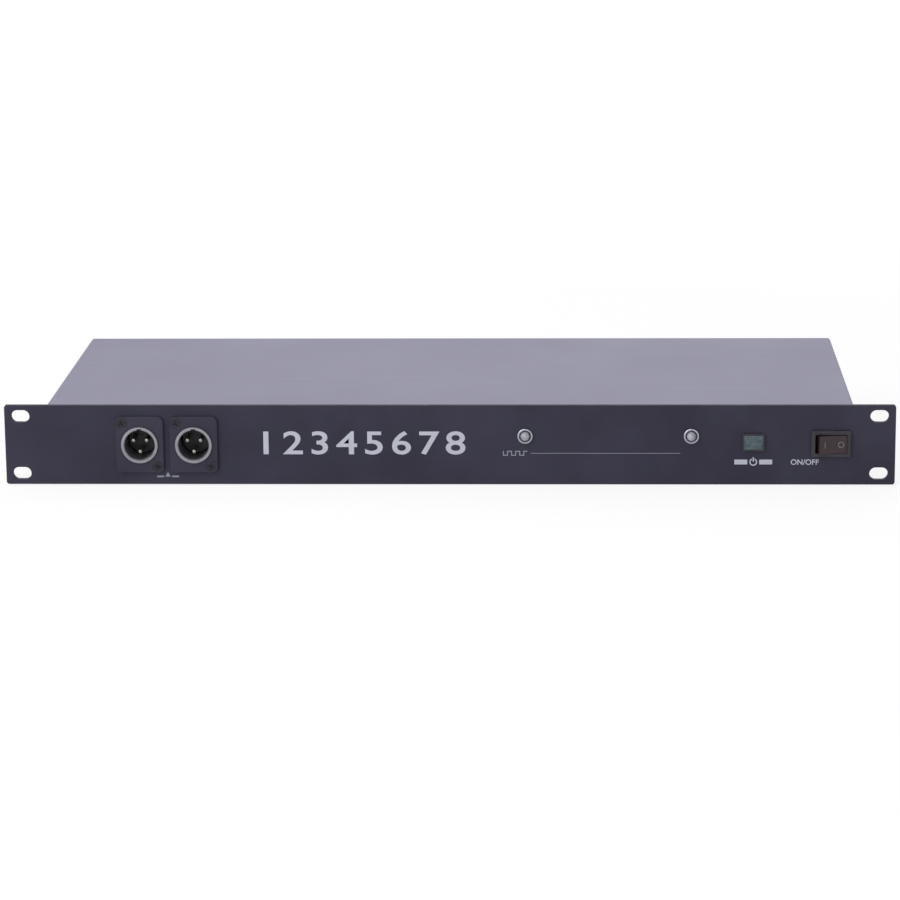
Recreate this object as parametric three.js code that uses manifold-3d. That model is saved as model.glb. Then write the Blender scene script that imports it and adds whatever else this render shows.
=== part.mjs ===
// Rack signal splitter for stage lighting: a steel case one rack unit high behind an aluminium panel
// with two mounting ears. Two plug inputs, two signal lamps, a power lamp and a rocker switch are on
// the front; ten latching sockets, a rating plate and a fused mains inlet are on the back.
// Millimetres. X runs along the panel, Y from the front to the rear, Z up.
import * as THREE from 'three';
import { mergeVertices } from 'three/addons/utils/BufferGeometryUtils.js';
import Module from 'manifold-3d';

const wasm = await Module();
wasm.setup();

// Fits that all the pieces share
const clearance = 0.3;
const overrun = 1;

// Front panel with an oblong slot in each corner of its two ears
const panel = {
  width: 482.6,
  height: 44,
  thickness: 3,
  cornerRadius: 1.5,
  earWidth: 22.3,
  topMargin: 0.5,
  slotInsetX: 8.75,
  slotInsetZ: 6.125,
  slotLength: 10,
  slotHeight: 6.8,
};

// Folded steel case behind the panel, between its ears
const chassis = {
  width: panel.width - 2 * panel.earWidth,
  height: panel.height - panel.topMargin,
  depth: 180,
  sheet: 1.2,
  frontFlange: 8,
  sideFlange: 12,
  rearFlange: 5,
};

// Screws that hold the cover's sides to the tray
const coverScrew = {
  headRadius: 3,
  headHeight: 1.6,
  headEdge: 0.7,
  shankRadius: 1.4,
  shankLength: 6,
  endInset: 28,
};

// Three-contact connector in its square-flanged shell, as a plug or a socket
const connector = {
  flangeWidth: 26,
  flangeHeight: 31,
  flangeThickness: 2,
  flangeCornerRadius: 3,
  socketRadius: 9.6,
  plugRadius: 8.15,
  wall: 2.2,
  barrelDepth: 20,
  collarWidth: 1.9,
  collarProud: 1.4,
  ringGap: 1.6,
  noseRecess: 0.6,
  baseDepth: 4,
  baseInset: 3,
  contactCount: 3,
  contactCircle: 4.2,
  contactRadius: 1.2,
  contactDepth: 8,
  pinTip: 0.8,
  pinRecess: 1.5,
  tailLength: 4,
  tailWidth: 1.6,
};

// Spring latch above each socket, pressed to free the cable
const latch = {
  width: 10.4,
  height: 4.2,
  proud: 2.2,
  travel: 1.5,
  armWidth: 5,
  armThickness: 1.6,
  armLength: 12,
};

// Mains inlet with the fuse drawer under its recess
const inlet = {
  recessWidth: 24,
  recessHeight: 16.5,
  recessDepth: 17,
  recessChamfer: 4.5,
  wall: 1.9,
  web: 3.4,
  ear: 7.1,
  lip: 1.2,
  cornerRadius: 2,
  flangeThickness: 3,
  bodyDepth: 24,
  bladeWidth: 2,
  bladeHeight: 4,
  bladeSpread: 7,
  bladeRise: 2,
  bladeInset: 2.5,
  tailLength: 6,
};
const fuse = {
  radius: 2.6,
  glassRadius: 2.3,
  length: 20,
  capLength: 5,
};
const drawer = {
  floor: 1,
  wall: 1.4,
  length: 20,
  proud: 1,
  trayInset: 6,
  gripWidth: 8,
  gripDepth: 0.6,
  gripHeight: 2,
};

// Rocker switch, lying on its side
const rocker = {
  length: 15.2,
  width: 9.8,
  proud: 1,
  swing: 1,
  flankDepth: 1.5,
  heelWidth: 6,
  heelDepth: 7,
  pivotDepth: 1.4,
  trunnionRadius: 1,
  trunnionLength: 0.9,
};
const switchFrame = {
  wall: 1.1,
  lip: 1,
  cornerRadius: 1.2,
  bezelThickness: 2,
  bodyDepth: 20,
  cavityDepth: 10,
  terminalWidth: 4.8,
  terminalThickness: 0.8,
  terminalLength: 5,
  terminalPitch: 7,
};
const rockerTilt = THREE.MathUtils.degToRad(10);
const firstContactTurn = THREE.MathUtils.degToRad(30);

// Round signal lamps in their bezels, and the oblong power lamp
const signalLamp = {
  lensRadius: 2.5,
  domeHeight: 2.4,
  bezelWall: 0.6,
  rimWidth: 0.8,
  rimThickness: 1.4,
  rimBevel: 0.4,
  barrelDepth: 7,
  baseWidth: 0.5,
  baseDepth: 1.2,
  leadLength: 6,
  leadWidth: 0.6,
  leadSpread: 1.27,
};
const powerLamp = {
  width: 12,
  height: 9.6,
  proud: 2.2,
  bevel: 0.8,
  shoulder: 1,
  bodyDepth: 14,
};

// Blank plate beside the inlet
const ratingPlate = {
  height: 14,
  thickness: 0.5,
  cornerRadius: 1,
  edgeGap: 2,
  topGap: 5,
};

// Circuit boards, each with the posts that carry it over the tray
const board = {
  thickness: 1.6,
  postHeight: 6,
  postRadius: 3,
  postInset: 6,
  sideGap: 12,
  gap: 10,
  frontRoom: 30,
  rearRoom: 30,
  powerRearRoom: 44,
};
const driverChip = { width: 10, depth: 7, height: 3, setback: 12 };
const isolator = { width: 20, depth: 12, height: 8 };
const header = { width: 22, depth: 6, height: 8, setback: 1.5 };
const capacitor = { radius: 8, height: 22 };
const heatSink = { width: 30, depth: 4, height: 20 };
const choke = { width: 20, depth: 18, height: 15 };
const transformer = {
  coreWidth: 50,
  coreDepth: 22,
  coilWidth: 32,
  coilDepth: 40,
  coilInset: 5,
  headroom: 7,
};
const ribbon = { width: 20, thickness: 1, rise: 2 };
const loom = { radius: 3, lead: 9, stepLength: 7 };

// Places along the case, as shares of its width from the middle, and up it, as shares of its height
const frontShares = {
  inputsX: -0.349,
  inputsZ: 0.51,
  signalX: [0.095, 0.3],
  signalZ: 0.615,
  powerX: 0.3765,
  powerZ: 0.536,
  switchZ: 0.52,
};
const rearShares = {
  inletX: 0.4247,
  inletZ: 0.505,
  outputsX: 0.0114,
  outputsSpan: 0.526,
  pairX: -0.383,
  socketZ: 0.525,
};
const bayShares = {
  inputBoard: [-0.45, -0.25],
  outputBoardEnd: 0.31,
  powerBoardStart: 0.335,
  transformerX: 0.2,
  isolatorsX: [-0.34, 0.02],
};
const outputCount = 8;
const inputGap = 3.4;
const pairGap = 4.7;

// Facets round each kind of curve
const connectorSides = 24;
const turnedSides = 16;
const smallSides = 8;
const postSides = 6;
const bendSteps = 3;
const slotEndSteps = 6;

const finishes = {
  panel: { color: 0x38363f, roughness: 0.5, metalness: 0.4 },
  cover: { color: 0x94929f, roughness: 0.45, metalness: 0.6 },
  tray: { color: 0x8c8b99, roughness: 0.5, metalness: 0.6 },
  rearPanel: { color: 0x5f6170, roughness: 0.5, metalness: 0.5 },
  nickel: { color: 0xb9bac4, roughness: 0.3, metalness: 0.9 },
  greyShell: { color: 0x6a6c78, roughness: 0.4, metalness: 0.7 },
  blackShell: { color: 0x2b2a33, roughness: 0.45, metalness: 0.5 },
  insert: { color: 0x1c1c22, roughness: 0.6, metalness: 0 },
  blackPlastic: { color: 0x222129, roughness: 0.5, metalness: 0 },
  redPlastic: { color: 0x4a2530, roughness: 0.35, metalness: 0 },
  clearLens: { color: 0xb8bcc4, roughness: 0.2, metalness: 0 },
  greenLens: { color: 0x50666d, roughness: 0.25, metalness: 0 },
  plate: { color: 0x9a9ab0, roughness: 0.4, metalness: 0.7 },
  circuit: { color: 0x1f5a3a, roughness: 0.55, metalness: 0.1 },
  iron: { color: 0x54545c, roughness: 0.5, metalness: 0.8 },
  wire: { color: 0x8f8f98, roughness: 0.6, metalness: 0 },
  glass: { color: 0xcfd4d6, roughness: 0.15, metalness: 0 },
};

// Axes that an outline's own axes and its thickness are turned onto
const axisX = new THREE.Vector3(1, 0, 0);
const axisY = new THREE.Vector3(0, 1, 0);
const axisZ = new THREE.Vector3(0, 0, 1);
const facingFront = new THREE.Matrix4().makeBasis(axisX, axisZ, axisY.clone().negate());
const facingSide = new THREE.Matrix4().makeBasis(axisY, axisZ, axisX);
const standing = new THREE.Matrix4().makeBasis(axisX, axisZ.clone().negate(), axisY);
const lyingAlongX = new THREE.Matrix4().makeBasis(axisY, axisX, axisZ.clone().negate());

// A closed three.js geometry as a solid, without the flat triangles that a pole leaves
function solidOf(geometry) {
  geometry.deleteAttribute('normal');
  geometry.deleteAttribute('uv');
  const merged = mergeVertices(geometry);
  const corners = merged.index.array;
  const triangles = [];
  for (let i = 0; i < corners.length; i += 3) {
    const [a, b, c] = corners.slice(i, i + 3);
    if (a !== b && b !== c && c !== a) triangles.push(a, b, c);
  }
  return new wasm.Manifold(new wasm.Mesh({
    numProp: 3,
    vertProperties: new Float32Array(merged.attributes.position.array),
    triVerts: new Uint32Array(triangles),
  }));
}

function geometryOf(solid) {
  const { vertProperties, triVerts } = solid.getMesh();
  const geometry = new THREE.BufferGeometry();
  geometry.setAttribute('position', new THREE.BufferAttribute(Float32Array.from(vertProperties), 3));
  geometry.setIndex(new THREE.BufferAttribute(Uint32Array.from(triVerts), 1));
  geometry.computeVertexNormals();
  return geometry;
}

// A block between two values on each axis
function block([x0, x1], [y0, y1], [z0, z1]) {
  const geometry = new THREE.BoxGeometry(x1 - x0, y1 - y0, z1 - z0);
  return solidOf(geometry.translate((x0 + x1) / 2, (y0 + y1) / 2, (z0 + z1) / 2));
}

// The two ends of a length that lies about a middle
function about(middle, length) {
  return [middle - length / 2, middle + length / 2];
}

// A round rod along Y, a post along Z and a bar along X
function rod(radius, [y0, y1], x = 0, z = 0, sides = connectorSides) {
  const geometry = new THREE.CylinderGeometry(radius, radius, y1 - y0, sides);
  return solidOf(geometry.translate(x, (y0 + y1) / 2, z));
}

function post(radius, [z0, z1], x, y, sides) {
  const geometry = new THREE.CylinderGeometry(radius, radius, z1 - z0, sides).applyMatrix4(standing);
  return solidOf(geometry.translate(x, y, (z0 + z1) / 2));
}

function bar(radius, [x0, x1], y, z, sides) {
  const geometry = new THREE.CylinderGeometry(radius, radius, x1 - x0, sides).applyMatrix4(lyingAlongX);
  return solidOf(geometry.translate((x0 + x1) / 2, y, z));
}

// A profile of radius and Y turned about the Y axis
function turned(profile, sides) {
  return solidOf(new THREE.LatheGeometry(profile.map(([r, y]) => new THREE.Vector2(r, y)), sides));
}

function arc(x, z, radius, start, end, steps) {
  const points = [];
  for (let i = 0; i <= steps; i += 1) {
    const angle = start + ((end - start) * i) / steps;
    points.push(new THREE.Vector2(x + radius * Math.cos(angle), z + radius * Math.sin(angle)));
  }
  return points;
}

function circleOutline(radius, x, z, sides = connectorSides) {
  return arc(x, z, radius, 0, 2 * Math.PI, sides).slice(0, sides);
}

function rectangleOutline(width, height, x, z) {
  const [x0, x1] = about(x, width);
  const [z0, z1] = about(z, height);
  return [[x0, z0], [x1, z0], [x1, z1], [x0, z1]].map(([u, v]) => new THREE.Vector2(u, v));
}

function roundedOutline(width, height, radius, x = 0, z = 0) {
  const spanX = width / 2 - radius;
  const spanZ = height / 2 - radius;
  const quarter = Math.PI / 2;
  const corners = [[1, 1], [-1, 1], [-1, -1], [1, -1]];
  return corners.flatMap(([i, j], k) => (
    arc(x + i * spanX, z + j * spanZ, radius, k * quarter, (k + 1) * quarter, bendSteps)
  ));
}

function slotOutline(length, height, x, z) {
  const radius = height / 2;
  const span = length / 2 - radius;
  const right = arc(x + span, z, radius, -Math.PI / 2, Math.PI / 2, slotEndSteps);
  const left = arc(x - span, z, radius, Math.PI / 2, (3 * Math.PI) / 2, slotEndSteps);
  return [...right, ...left];
}

// An outline, with holes, given a thickness along one axis
function extruded(outline, holes, thickness, turn) {
  const shape = new THREE.Shape(outline);
  shape.holes = holes.map((hole) => new THREE.Path(hole));
  const geometry = new THREE.ExtrudeGeometry(shape, { depth: thickness, bevelEnabled: false });
  return geometry.applyMatrix4(turn);
}

function plate(outline, [y0, y1], holes = []) {
  return solidOf(extruded(outline, holes, y1 - y0, facingFront).translate(0, y1, 0));
}

function strip(outline, [x0, x1]) {
  return solidOf(extruded(outline, [], x1 - x0, facingSide).translate(x0, 0, 0));
}

function joined(...solids) {
  return solids.reduce((whole, next) => whole.add(next));
}

function cut(solid, ...tools) {
  return tools.reduce((whole, tool) => whole.subtract(tool), solid);
}

function addPiece(parent, name, solid, finish) {
  const mesh = new THREE.Mesh(geometryOf(solid), new THREE.MeshStandardMaterial(finish));
  mesh.name = name;
  parent.add(mesh);
}

// A seat is a group whose own origin lies on the face that a connector is fixed to
function seatOnFront(parent, x, z) {
  const seat = new THREE.Group();
  seat.position.set(x, -panel.thickness, z);
  parent.add(seat);
  return seat;
}

function seatOnRear(parent, x, z) {
  const seat = new THREE.Group();
  seat.position.set(x, chassis.depth, z);
  seat.rotation.z = Math.PI;
  parent.add(seat);
  return seat;
}

// Sizes that follow from the driving dimensions
const barrelRadius = connector.socketRadius + connector.wall;
const panelHoleRadius = barrelRadius + clearance;
const inputPitch = connector.flangeWidth + inputGap;
const pairPitch = connector.flangeWidth + pairGap;
const coverInner = chassis.width / 2 - chassis.sheet;
const trayHalf = coverInner - clearance;
const screwZ = (chassis.sideFlange + chassis.sheet) / 2;
const ceiling = chassis.height - chassis.sheet;
const boardTop = chassis.sheet + board.postHeight + board.thickness;
const headerInset = header.setback + header.depth / 2;
const drawerHeight = drawer.floor + 2 * fuse.radius + 2 * clearance;
const drawerWidth = fuse.length + 2 * clearance + 2 * drawer.wall;
const inletBodyWidth = Math.max(inlet.recessWidth, drawerWidth + 2 * clearance) + 2 * inlet.wall;
const inletBodyHeight = inlet.recessHeight + inlet.web + drawerHeight + 2 * clearance + 2 * inlet.wall;
const inletWidth = inletBodyWidth + 2 * inlet.ear;
const recessZ = inletBodyHeight / 2 - inlet.wall - inlet.recessHeight / 2;
const drawerZ = inlet.wall + clearance + (drawerHeight - inletBodyHeight) / 2;
const windowLength = rocker.length + 2 * rocker.swing;
const windowWidth = rocker.width + 2 * clearance;
const switchBodyLength = windowLength + 2 * switchFrame.wall;
const switchBodyWidth = windowWidth + 2 * switchFrame.wall;
const signalBore = signalLamp.lensRadius + clearance;
const signalBarrel = signalBore + signalLamp.bezelWall;

const inputX = about(frontShares.inputsX * chassis.width, inputPitch);
const inputZ = frontShares.inputsZ * panel.height;
const ribbonX = (inputX[0] + inputX[1]) / 2;
const signalX = frontShares.signalX.map((share) => share * chassis.width);
const signalZ = frontShares.signalZ * panel.height;
const powerX = frontShares.powerX * chassis.width;
const powerZ = frontShares.powerZ * panel.height;
const switchX = trayHalf - chassis.sheet - switchBodyLength / 2;
const switchZ = frontShares.switchZ * panel.height;
const inletX = rearShares.inletX * chassis.width;
const inletZ = rearShares.inletZ * chassis.height;
const socketZ = rearShares.socketZ * chassis.height;
const outputX = outputPlaces();

// Eight outputs in an even row from the inlet's side, and two more at the far end
function outputPlaces() {
  const [last, first] = about(rearShares.outputsX * chassis.width, rearShares.outputsSpan * chassis.width);
  const row = [];
  for (let i = 0; i < outputCount; i += 1) {
    row.push(first + ((last - first) * i) / (outputCount - 1));
  }
  const [far, near] = about(rearShares.pairX * chassis.width, pairPitch);
  return [...row, near, far];
}

// Case

function screwPlaces() {
  const frontY = coverScrew.endInset;
  const rearY = chassis.depth - coverScrew.endInset;
  return [[-1, frontY], [1, frontY], [-1, rearY], [1, rearY]];
}

function screwHoles() {
  const radius = coverScrew.shankRadius + clearance;
  const reach = [trayHalf - chassis.sheet - overrun, chassis.width / 2 + overrun];
  return screwPlaces().map(([side, y]) => (
    bar(radius, side > 0 ? reach : [-reach[1], -reach[0]], y, screwZ, smallSides)
  ));
}

function boardPlaces() {
  const middle = (board.frontRoom + chassis.depth - board.rearRoom) / 2;
  const [inputStart, inputEnd] = bayShares.inputBoard.map((share) => share * chassis.width);
  const side = chassis.width / 2 - board.sideGap;
  return {
    input: { x: [inputStart, inputEnd], y: [board.frontRoom, middle - board.gap / 2], columns: 2 },
    output: {
      x: [-side, bayShares.outputBoardEnd * chassis.width],
      y: [middle + board.gap / 2, chassis.depth - board.rearRoom],
      columns: 3,
    },
    power: {
      x: [bayShares.powerBoardStart * chassis.width, side],
      y: [board.frontRoom, chassis.depth - board.powerRearRoom],
      columns: 2,
    },
  };
}

function makeTray() {
  const across = [-trayHalf, trayHalf];
  const along = [0, chassis.depth];
  const floor = block(across, along, [0, chassis.sheet]);
  const front = block(across, [0, chassis.sheet], [0, chassis.frontFlange]);
  const rearY = [chassis.depth - 2 * chassis.sheet, chassis.depth - chassis.sheet];
  const rear = block(across, rearY, [0, chassis.rearFlange]);
  const sideHeight = [0, chassis.sideFlange];
  const sideY = [0, chassis.depth - chassis.sheet - clearance];
  const left = block([-trayHalf, chassis.sheet - trayHalf], sideY, sideHeight);
  const right = block([trayHalf - chassis.sheet, trayHalf], sideY, sideHeight);
  return cut(joined(floor, front, rear, left, right), ...screwHoles());
}

function makeCover() {
  const half = chassis.width / 2;
  const outline = [
    [-half, 0], [-coverInner, 0], [-coverInner, ceiling], [coverInner, ceiling],
    [coverInner, 0], [half, 0], [half, chassis.height], [-half, chassis.height],
  ].map(([x, z]) => new THREE.Vector2(x, z));
  return cut(plate(outline, [0, chassis.depth]), ...screwHoles());
}

function makeFrontPanel() {
  const outline = roundedOutline(panel.width, panel.height, panel.cornerRadius, 0, panel.height / 2);
  const slots = [[-1, -1], [1, -1], [1, 1], [-1, 1]].map(([i, j]) => (
    slotOutline(
      panel.slotLength,
      panel.slotHeight,
      i * (panel.width / 2 - panel.slotInsetX),
      panel.height / 2 + j * (panel.height / 2 - panel.slotInsetZ),
    )
  ));
  const inputHoles = inputX.map((x) => circleOutline(panelHoleRadius, x, inputZ));
  const lampHoles = signalX.map((x) => circleOutline(signalBarrel + clearance, x, signalZ, turnedSides));
  const lampWidth = powerLamp.width - 2 * powerLamp.shoulder + 2 * clearance;
  const lampHeight = powerLamp.height - 2 * powerLamp.shoulder + 2 * clearance;
  const powerHole = rectangleOutline(lampWidth, lampHeight, powerX, powerZ);
  const switchLength = switchBodyLength + 2 * clearance;
  const switchHole = rectangleOutline(switchLength, switchBodyWidth + 2 * clearance, switchX, switchZ);
  const holes = [...slots, ...inputHoles, ...lampHoles, powerHole, switchHole];
  const blank = plate(outline, [-panel.thickness, 0]);
  return cut(blank, ...holes.map((hole) => plate(hole, [-panel.thickness - overrun, overrun])));
}

function makeRearPanel() {
  const height = ceiling - clearance - chassis.sheet;
  const outline = rectangleOutline(2 * trayHalf, height, 0, chassis.sheet + height / 2);
  const socketHoles = outputX.map((x) => circleOutline(panelHoleRadius, x, socketZ));
  const inletHole = rectangleOutline(
    inletBodyWidth + 2 * clearance,
    inletBodyHeight + 2 * clearance,
    inletX,
    inletZ,
  );
  return plate(outline, [chassis.depth - chassis.sheet, chassis.depth], [...socketHoles, inletHole]);
}

function makeCoverScrew(side, y) {
  const { headRadius, headHeight, headEdge, shankRadius, shankLength } = coverScrew;
  const profile = [
    [0, -shankLength], [shankRadius, -shankLength], [shankRadius, 0], [headRadius, 0],
    [headRadius, headEdge], [headRadius - headEdge, headHeight], [0, headHeight],
  ].map(([r, out]) => new THREE.Vector2(r, out));
  const geometry = new THREE.LatheGeometry(profile, turnedSides).applyMatrix4(lyingAlongX);
  if (side < 0) geometry.rotateZ(Math.PI);
  return solidOf(geometry.translate((side * chassis.width) / 2, y, screwZ));
}

function buildCase(parent) {
  addPiece(parent, 'front_panel', makeFrontPanel(), finishes.panel);
  addPiece(parent, 'base_tray', makeTray(), finishes.tray);
  addPiece(parent, 'rear_panel', makeRearPanel(), finishes.rearPanel);
  addPiece(parent, 'top_cover', makeCover(), finishes.cover);
  screwPlaces().forEach(([side, y], i) => {
    addPiece(parent, `cover_screw_${i + 1}`, makeCoverScrew(side, y), finishes.nickel);
  });
}

// Connectors, each drawn with its flange on the seat and its mouth towards -Y

function makeFlange() {
  const { flangeWidth, flangeHeight, flangeThickness, flangeCornerRadius } = connector;
  return plate(roundedOutline(flangeWidth, flangeHeight, flangeCornerRadius), [-flangeThickness, 0]);
}

function contactPlaces() {
  const { contactCount, contactCircle } = connector;
  const places = [];
  for (let i = 0; i < contactCount; i += 1) {
    const angle = firstContactTurn + (2 * Math.PI * i) / contactCount;
    places.push([contactCircle * Math.cos(angle), contactCircle * Math.sin(angle)]);
  }
  return places;
}

function contactTails(y) {
  return contactPlaces().map(([x, z]) => block(
    about(x, connector.tailWidth),
    [y - overrun, y + connector.tailLength],
    about(z, connector.tailWidth / 2),
  ));
}

function makePlugShell() {
  const { plugRadius, collarWidth, collarProud, flangeThickness, barrelDepth } = connector;
  const front = -flangeThickness - collarProud;
  const collar = rod(plugRadius + collarWidth, [front, 0]);
  const barrel = rod(barrelRadius, [-flangeThickness / 2, barrelDepth]);
  const bore = rod(plugRadius, [front - overrun, barrelDepth + overrun]);
  return cut(joined(makeFlange(), collar, barrel), bore);
}

function makePlugContacts() {
  const baseEnd = connector.barrelDepth - connector.baseInset;
  const baseStart = baseEnd - connector.baseDepth;
  const pinStart = connector.pinRecess - connector.flangeThickness;
  const base = rod(connector.plugRadius - clearance, [baseStart, baseEnd]);
  const radius = connector.contactRadius;
  const profile = [
    [0, pinStart], [radius - connector.pinTip, pinStart], [radius, pinStart + connector.pinTip],
    [radius, baseStart + overrun], [0, baseStart + overrun],
  ];
  const pin = turned(profile, smallSides);
  const pins = contactPlaces().map(([x, z]) => pin.translate([x, 0, z]));
  return joined(base, ...pins, ...contactTails(baseEnd));
}

function makeSocketShell() {
  const front = -connector.flangeThickness;
  const through = [front - overrun, connector.barrelDepth + overrun];
  const barrel = rod(barrelRadius, [front / 2, connector.barrelDepth]);
  const body = joined(makeFlange(), barrel);
  const bore = rod(connector.socketRadius, through);
  const top = connector.flangeHeight / 2 + overrun;
  const armRoom = block(about(0, latch.armWidth + 2 * clearance), through, [0, top]);
  const padRoom = block(
    about(0, latch.width + 2 * clearance),
    [front - overrun, 0],
    [connector.flangeHeight / 2 - latch.height - clearance, top],
  );
  const throat = block(
    about(0, latch.armWidth + 2 * clearance),
    [-overrun, connector.barrelDepth + overrun],
    [connector.socketRadius - connector.ringGap, top],
  );
  return cut(body, bore, armRoom, padRoom, throat);
}

function makeSocketContacts() {
  const baseEnd = connector.barrelDepth - connector.baseInset;
  const baseStart = baseEnd - connector.baseDepth;
  const noseRadius = connector.socketRadius - connector.ringGap;
  const noseStart = connector.noseRecess - connector.flangeThickness;
  const baseRadius = connector.socketRadius - clearance;
  const body = turned([
    [0, noseStart], [noseRadius, noseStart], [noseRadius, baseStart],
    [baseRadius, baseStart], [baseRadius, baseEnd], [0, baseEnd],
  ], connectorSides);
  const holeSpan = [noseStart - overrun, noseStart + connector.contactDepth];
  const holes = contactPlaces().map(([x, z]) => rod(connector.contactRadius, holeSpan, x, z, smallSides));
  return joined(cut(body, ...holes), ...contactTails(baseEnd));
}

function makeLatch() {
  const front = -connector.flangeThickness - latch.proud;
  const top = connector.flangeHeight / 2;
  const armTop = connector.socketRadius + clearance + latch.armThickness;
  const pad = block(about(0, latch.width), [front, -latch.travel - clearance], [top - latch.height, top]);
  const arm = block(
    about(0, latch.armWidth),
    [front, latch.armLength],
    [connector.socketRadius + clearance, armTop],
  );
  return joined(pad, arm);
}

function buildInputs(parent) {
  inputX.forEach((x, i) => {
    const seat = seatOnFront(parent, x, inputZ);
    addPiece(seat, `input_shell_${i + 1}`, makePlugShell(), finishes.blackShell);
    addPiece(seat, `input_contacts_${i + 1}`, makePlugContacts(), finishes.insert);
  });
}

function buildOutputs(parent) {
  outputX.forEach((x, i) => {
    const seat = seatOnRear(parent, x, socketZ);
    addPiece(seat, `output_shell_${i + 1}`, makeSocketShell(), finishes.greyShell);
    addPiece(seat, `output_contacts_${i + 1}`, makeSocketContacts(), finishes.insert);
    addPiece(seat, `output_latch_${i + 1}`, makeLatch(), finishes.nickel);
  });
}

// Mains inlet and its fuse drawer

function recessOutline(inset) {
  const halfX = inlet.recessWidth / 2 - inset;
  const halfZ = inlet.recessHeight / 2 - inset;
  const chamfer = inlet.recessChamfer;
  return [
    [-halfX, -halfZ], [halfX, -halfZ], [halfX, halfZ - chamfer],
    [halfX - chamfer, halfZ], [chamfer - halfX, halfZ], [-halfX, halfZ - chamfer],
  ].map(([x, z]) => new THREE.Vector2(x, recessZ + z));
}

function makeInletHousing() {
  const front = -inlet.flangeThickness;
  const flangeHeight = inletBodyHeight + 2 * inlet.lip;
  const flange = plate(roundedOutline(inletWidth, flangeHeight, inlet.cornerRadius), [front, 0]);
  const body = block(about(0, inletBodyWidth), [front / 2, inlet.bodyDepth], about(0, inletBodyHeight));
  const recess = plate(recessOutline(0), [front - overrun, inlet.bodyDepth + overrun]);
  const pocket = block(
    about(0, drawerWidth + 2 * clearance),
    [front - overrun, front - drawer.proud + drawer.length + clearance],
    about(drawerZ, drawerHeight + 2 * clearance),
  );
  return cut(joined(flange, body), recess, pocket);
}

function makeInletContacts() {
  const base = inlet.recessDepth - inlet.flangeThickness;
  const carrier = plate(recessOutline(clearance), [base, inlet.bodyDepth]);
  const places = [
    [-inlet.bladeSpread, -inlet.bladeRise],
    [inlet.bladeSpread, -inlet.bladeRise],
    [0, inlet.bladeRise],
  ];
  const span = [inlet.bladeInset - inlet.flangeThickness, inlet.bodyDepth + inlet.tailLength];
  const blades = places.map(([x, z]) => (
    block(about(x, inlet.bladeWidth), span, about(recessZ + z, inlet.bladeHeight))
  ));
  return joined(carrier, ...blades);
}

function fuseY() {
  return drawer.trayInset + fuse.radius + clearance - inlet.flangeThickness;
}

function makeFuseDrawer() {
  const front = -inlet.flangeThickness - drawer.proud;
  const body = block(about(0, drawerWidth), [front, front + drawer.length], about(drawerZ, drawerHeight));
  const bottom = drawerZ - drawerHeight / 2;
  const trough = block(
    about(0, fuse.length + 2 * clearance),
    about(fuseY(), 2 * (fuse.radius + clearance)),
    [bottom + drawer.floor, bottom + drawerHeight + overrun],
  );
  const grip = block(
    about(0, drawer.gripWidth),
    [front - overrun, front + drawer.gripDepth],
    about(drawerZ, drawer.gripHeight),
  );
  return cut(body, trough, grip);
}

function makeFuse() {
  const half = fuse.length / 2;
  const glass = half - fuse.capLength;
  const profile = [
    [0, -half], [fuse.radius, -half], [fuse.radius, -glass], [fuse.glassRadius, -glass],
    [fuse.glassRadius, glass], [fuse.radius, glass], [fuse.radius, half], [0, half],
  ].map(([r, along]) => new THREE.Vector2(r, along));
  const geometry = new THREE.LatheGeometry(profile, turnedSides).applyMatrix4(lyingAlongX);
  const z = drawerZ - drawerHeight / 2 + drawer.floor + clearance + fuse.radius;
  return solidOf(geometry.translate(0, fuseY(), z));
}

function buildInlet(parent) {
  const seat = seatOnRear(parent, inletX, inletZ);
  addPiece(seat, 'inlet_housing', makeInletHousing(), finishes.blackPlastic);
  addPiece(seat, 'inlet_contacts', makeInletContacts(), finishes.nickel);
  addPiece(seat, 'fuse_drawer', makeFuseDrawer(), finishes.blackPlastic);
  addPiece(seat, 'fuse_link', makeFuse(), finishes.glass);
}

// Rocker switch

function makeSwitchFrame() {
  const { bezelThickness, bodyDepth, cavityDepth, lip, cornerRadius } = switchFrame;
  const outline = roundedOutline(switchBodyLength + 2 * lip, switchBodyWidth + 2 * lip, cornerRadius);
  const bezel = plate(outline, [-bezelThickness, 0]);
  const body = block(
    about(0, switchBodyLength),
    [-bezelThickness / 2, bodyDepth],
    about(0, switchBodyWidth),
  );
  const cavity = block(
    about(0, windowLength),
    [-bezelThickness - overrun, cavityDepth],
    about(0, windowWidth),
  );
  const bearing = post(
    rocker.trunnionRadius + clearance,
    about(0, switchBodyWidth + 2 * overrun),
    0,
    rocker.pivotDepth,
    turnedSides,
  );
  const terminals = [-1, 0, 1].map((i) => block(
    about(i * switchFrame.terminalPitch, switchFrame.terminalThickness),
    [bodyDepth - overrun, bodyDepth + switchFrame.terminalLength],
    about(0, switchFrame.terminalWidth),
  ));
  return joined(cut(joined(bezel, body), cavity, bearing), ...terminals);
}

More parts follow.
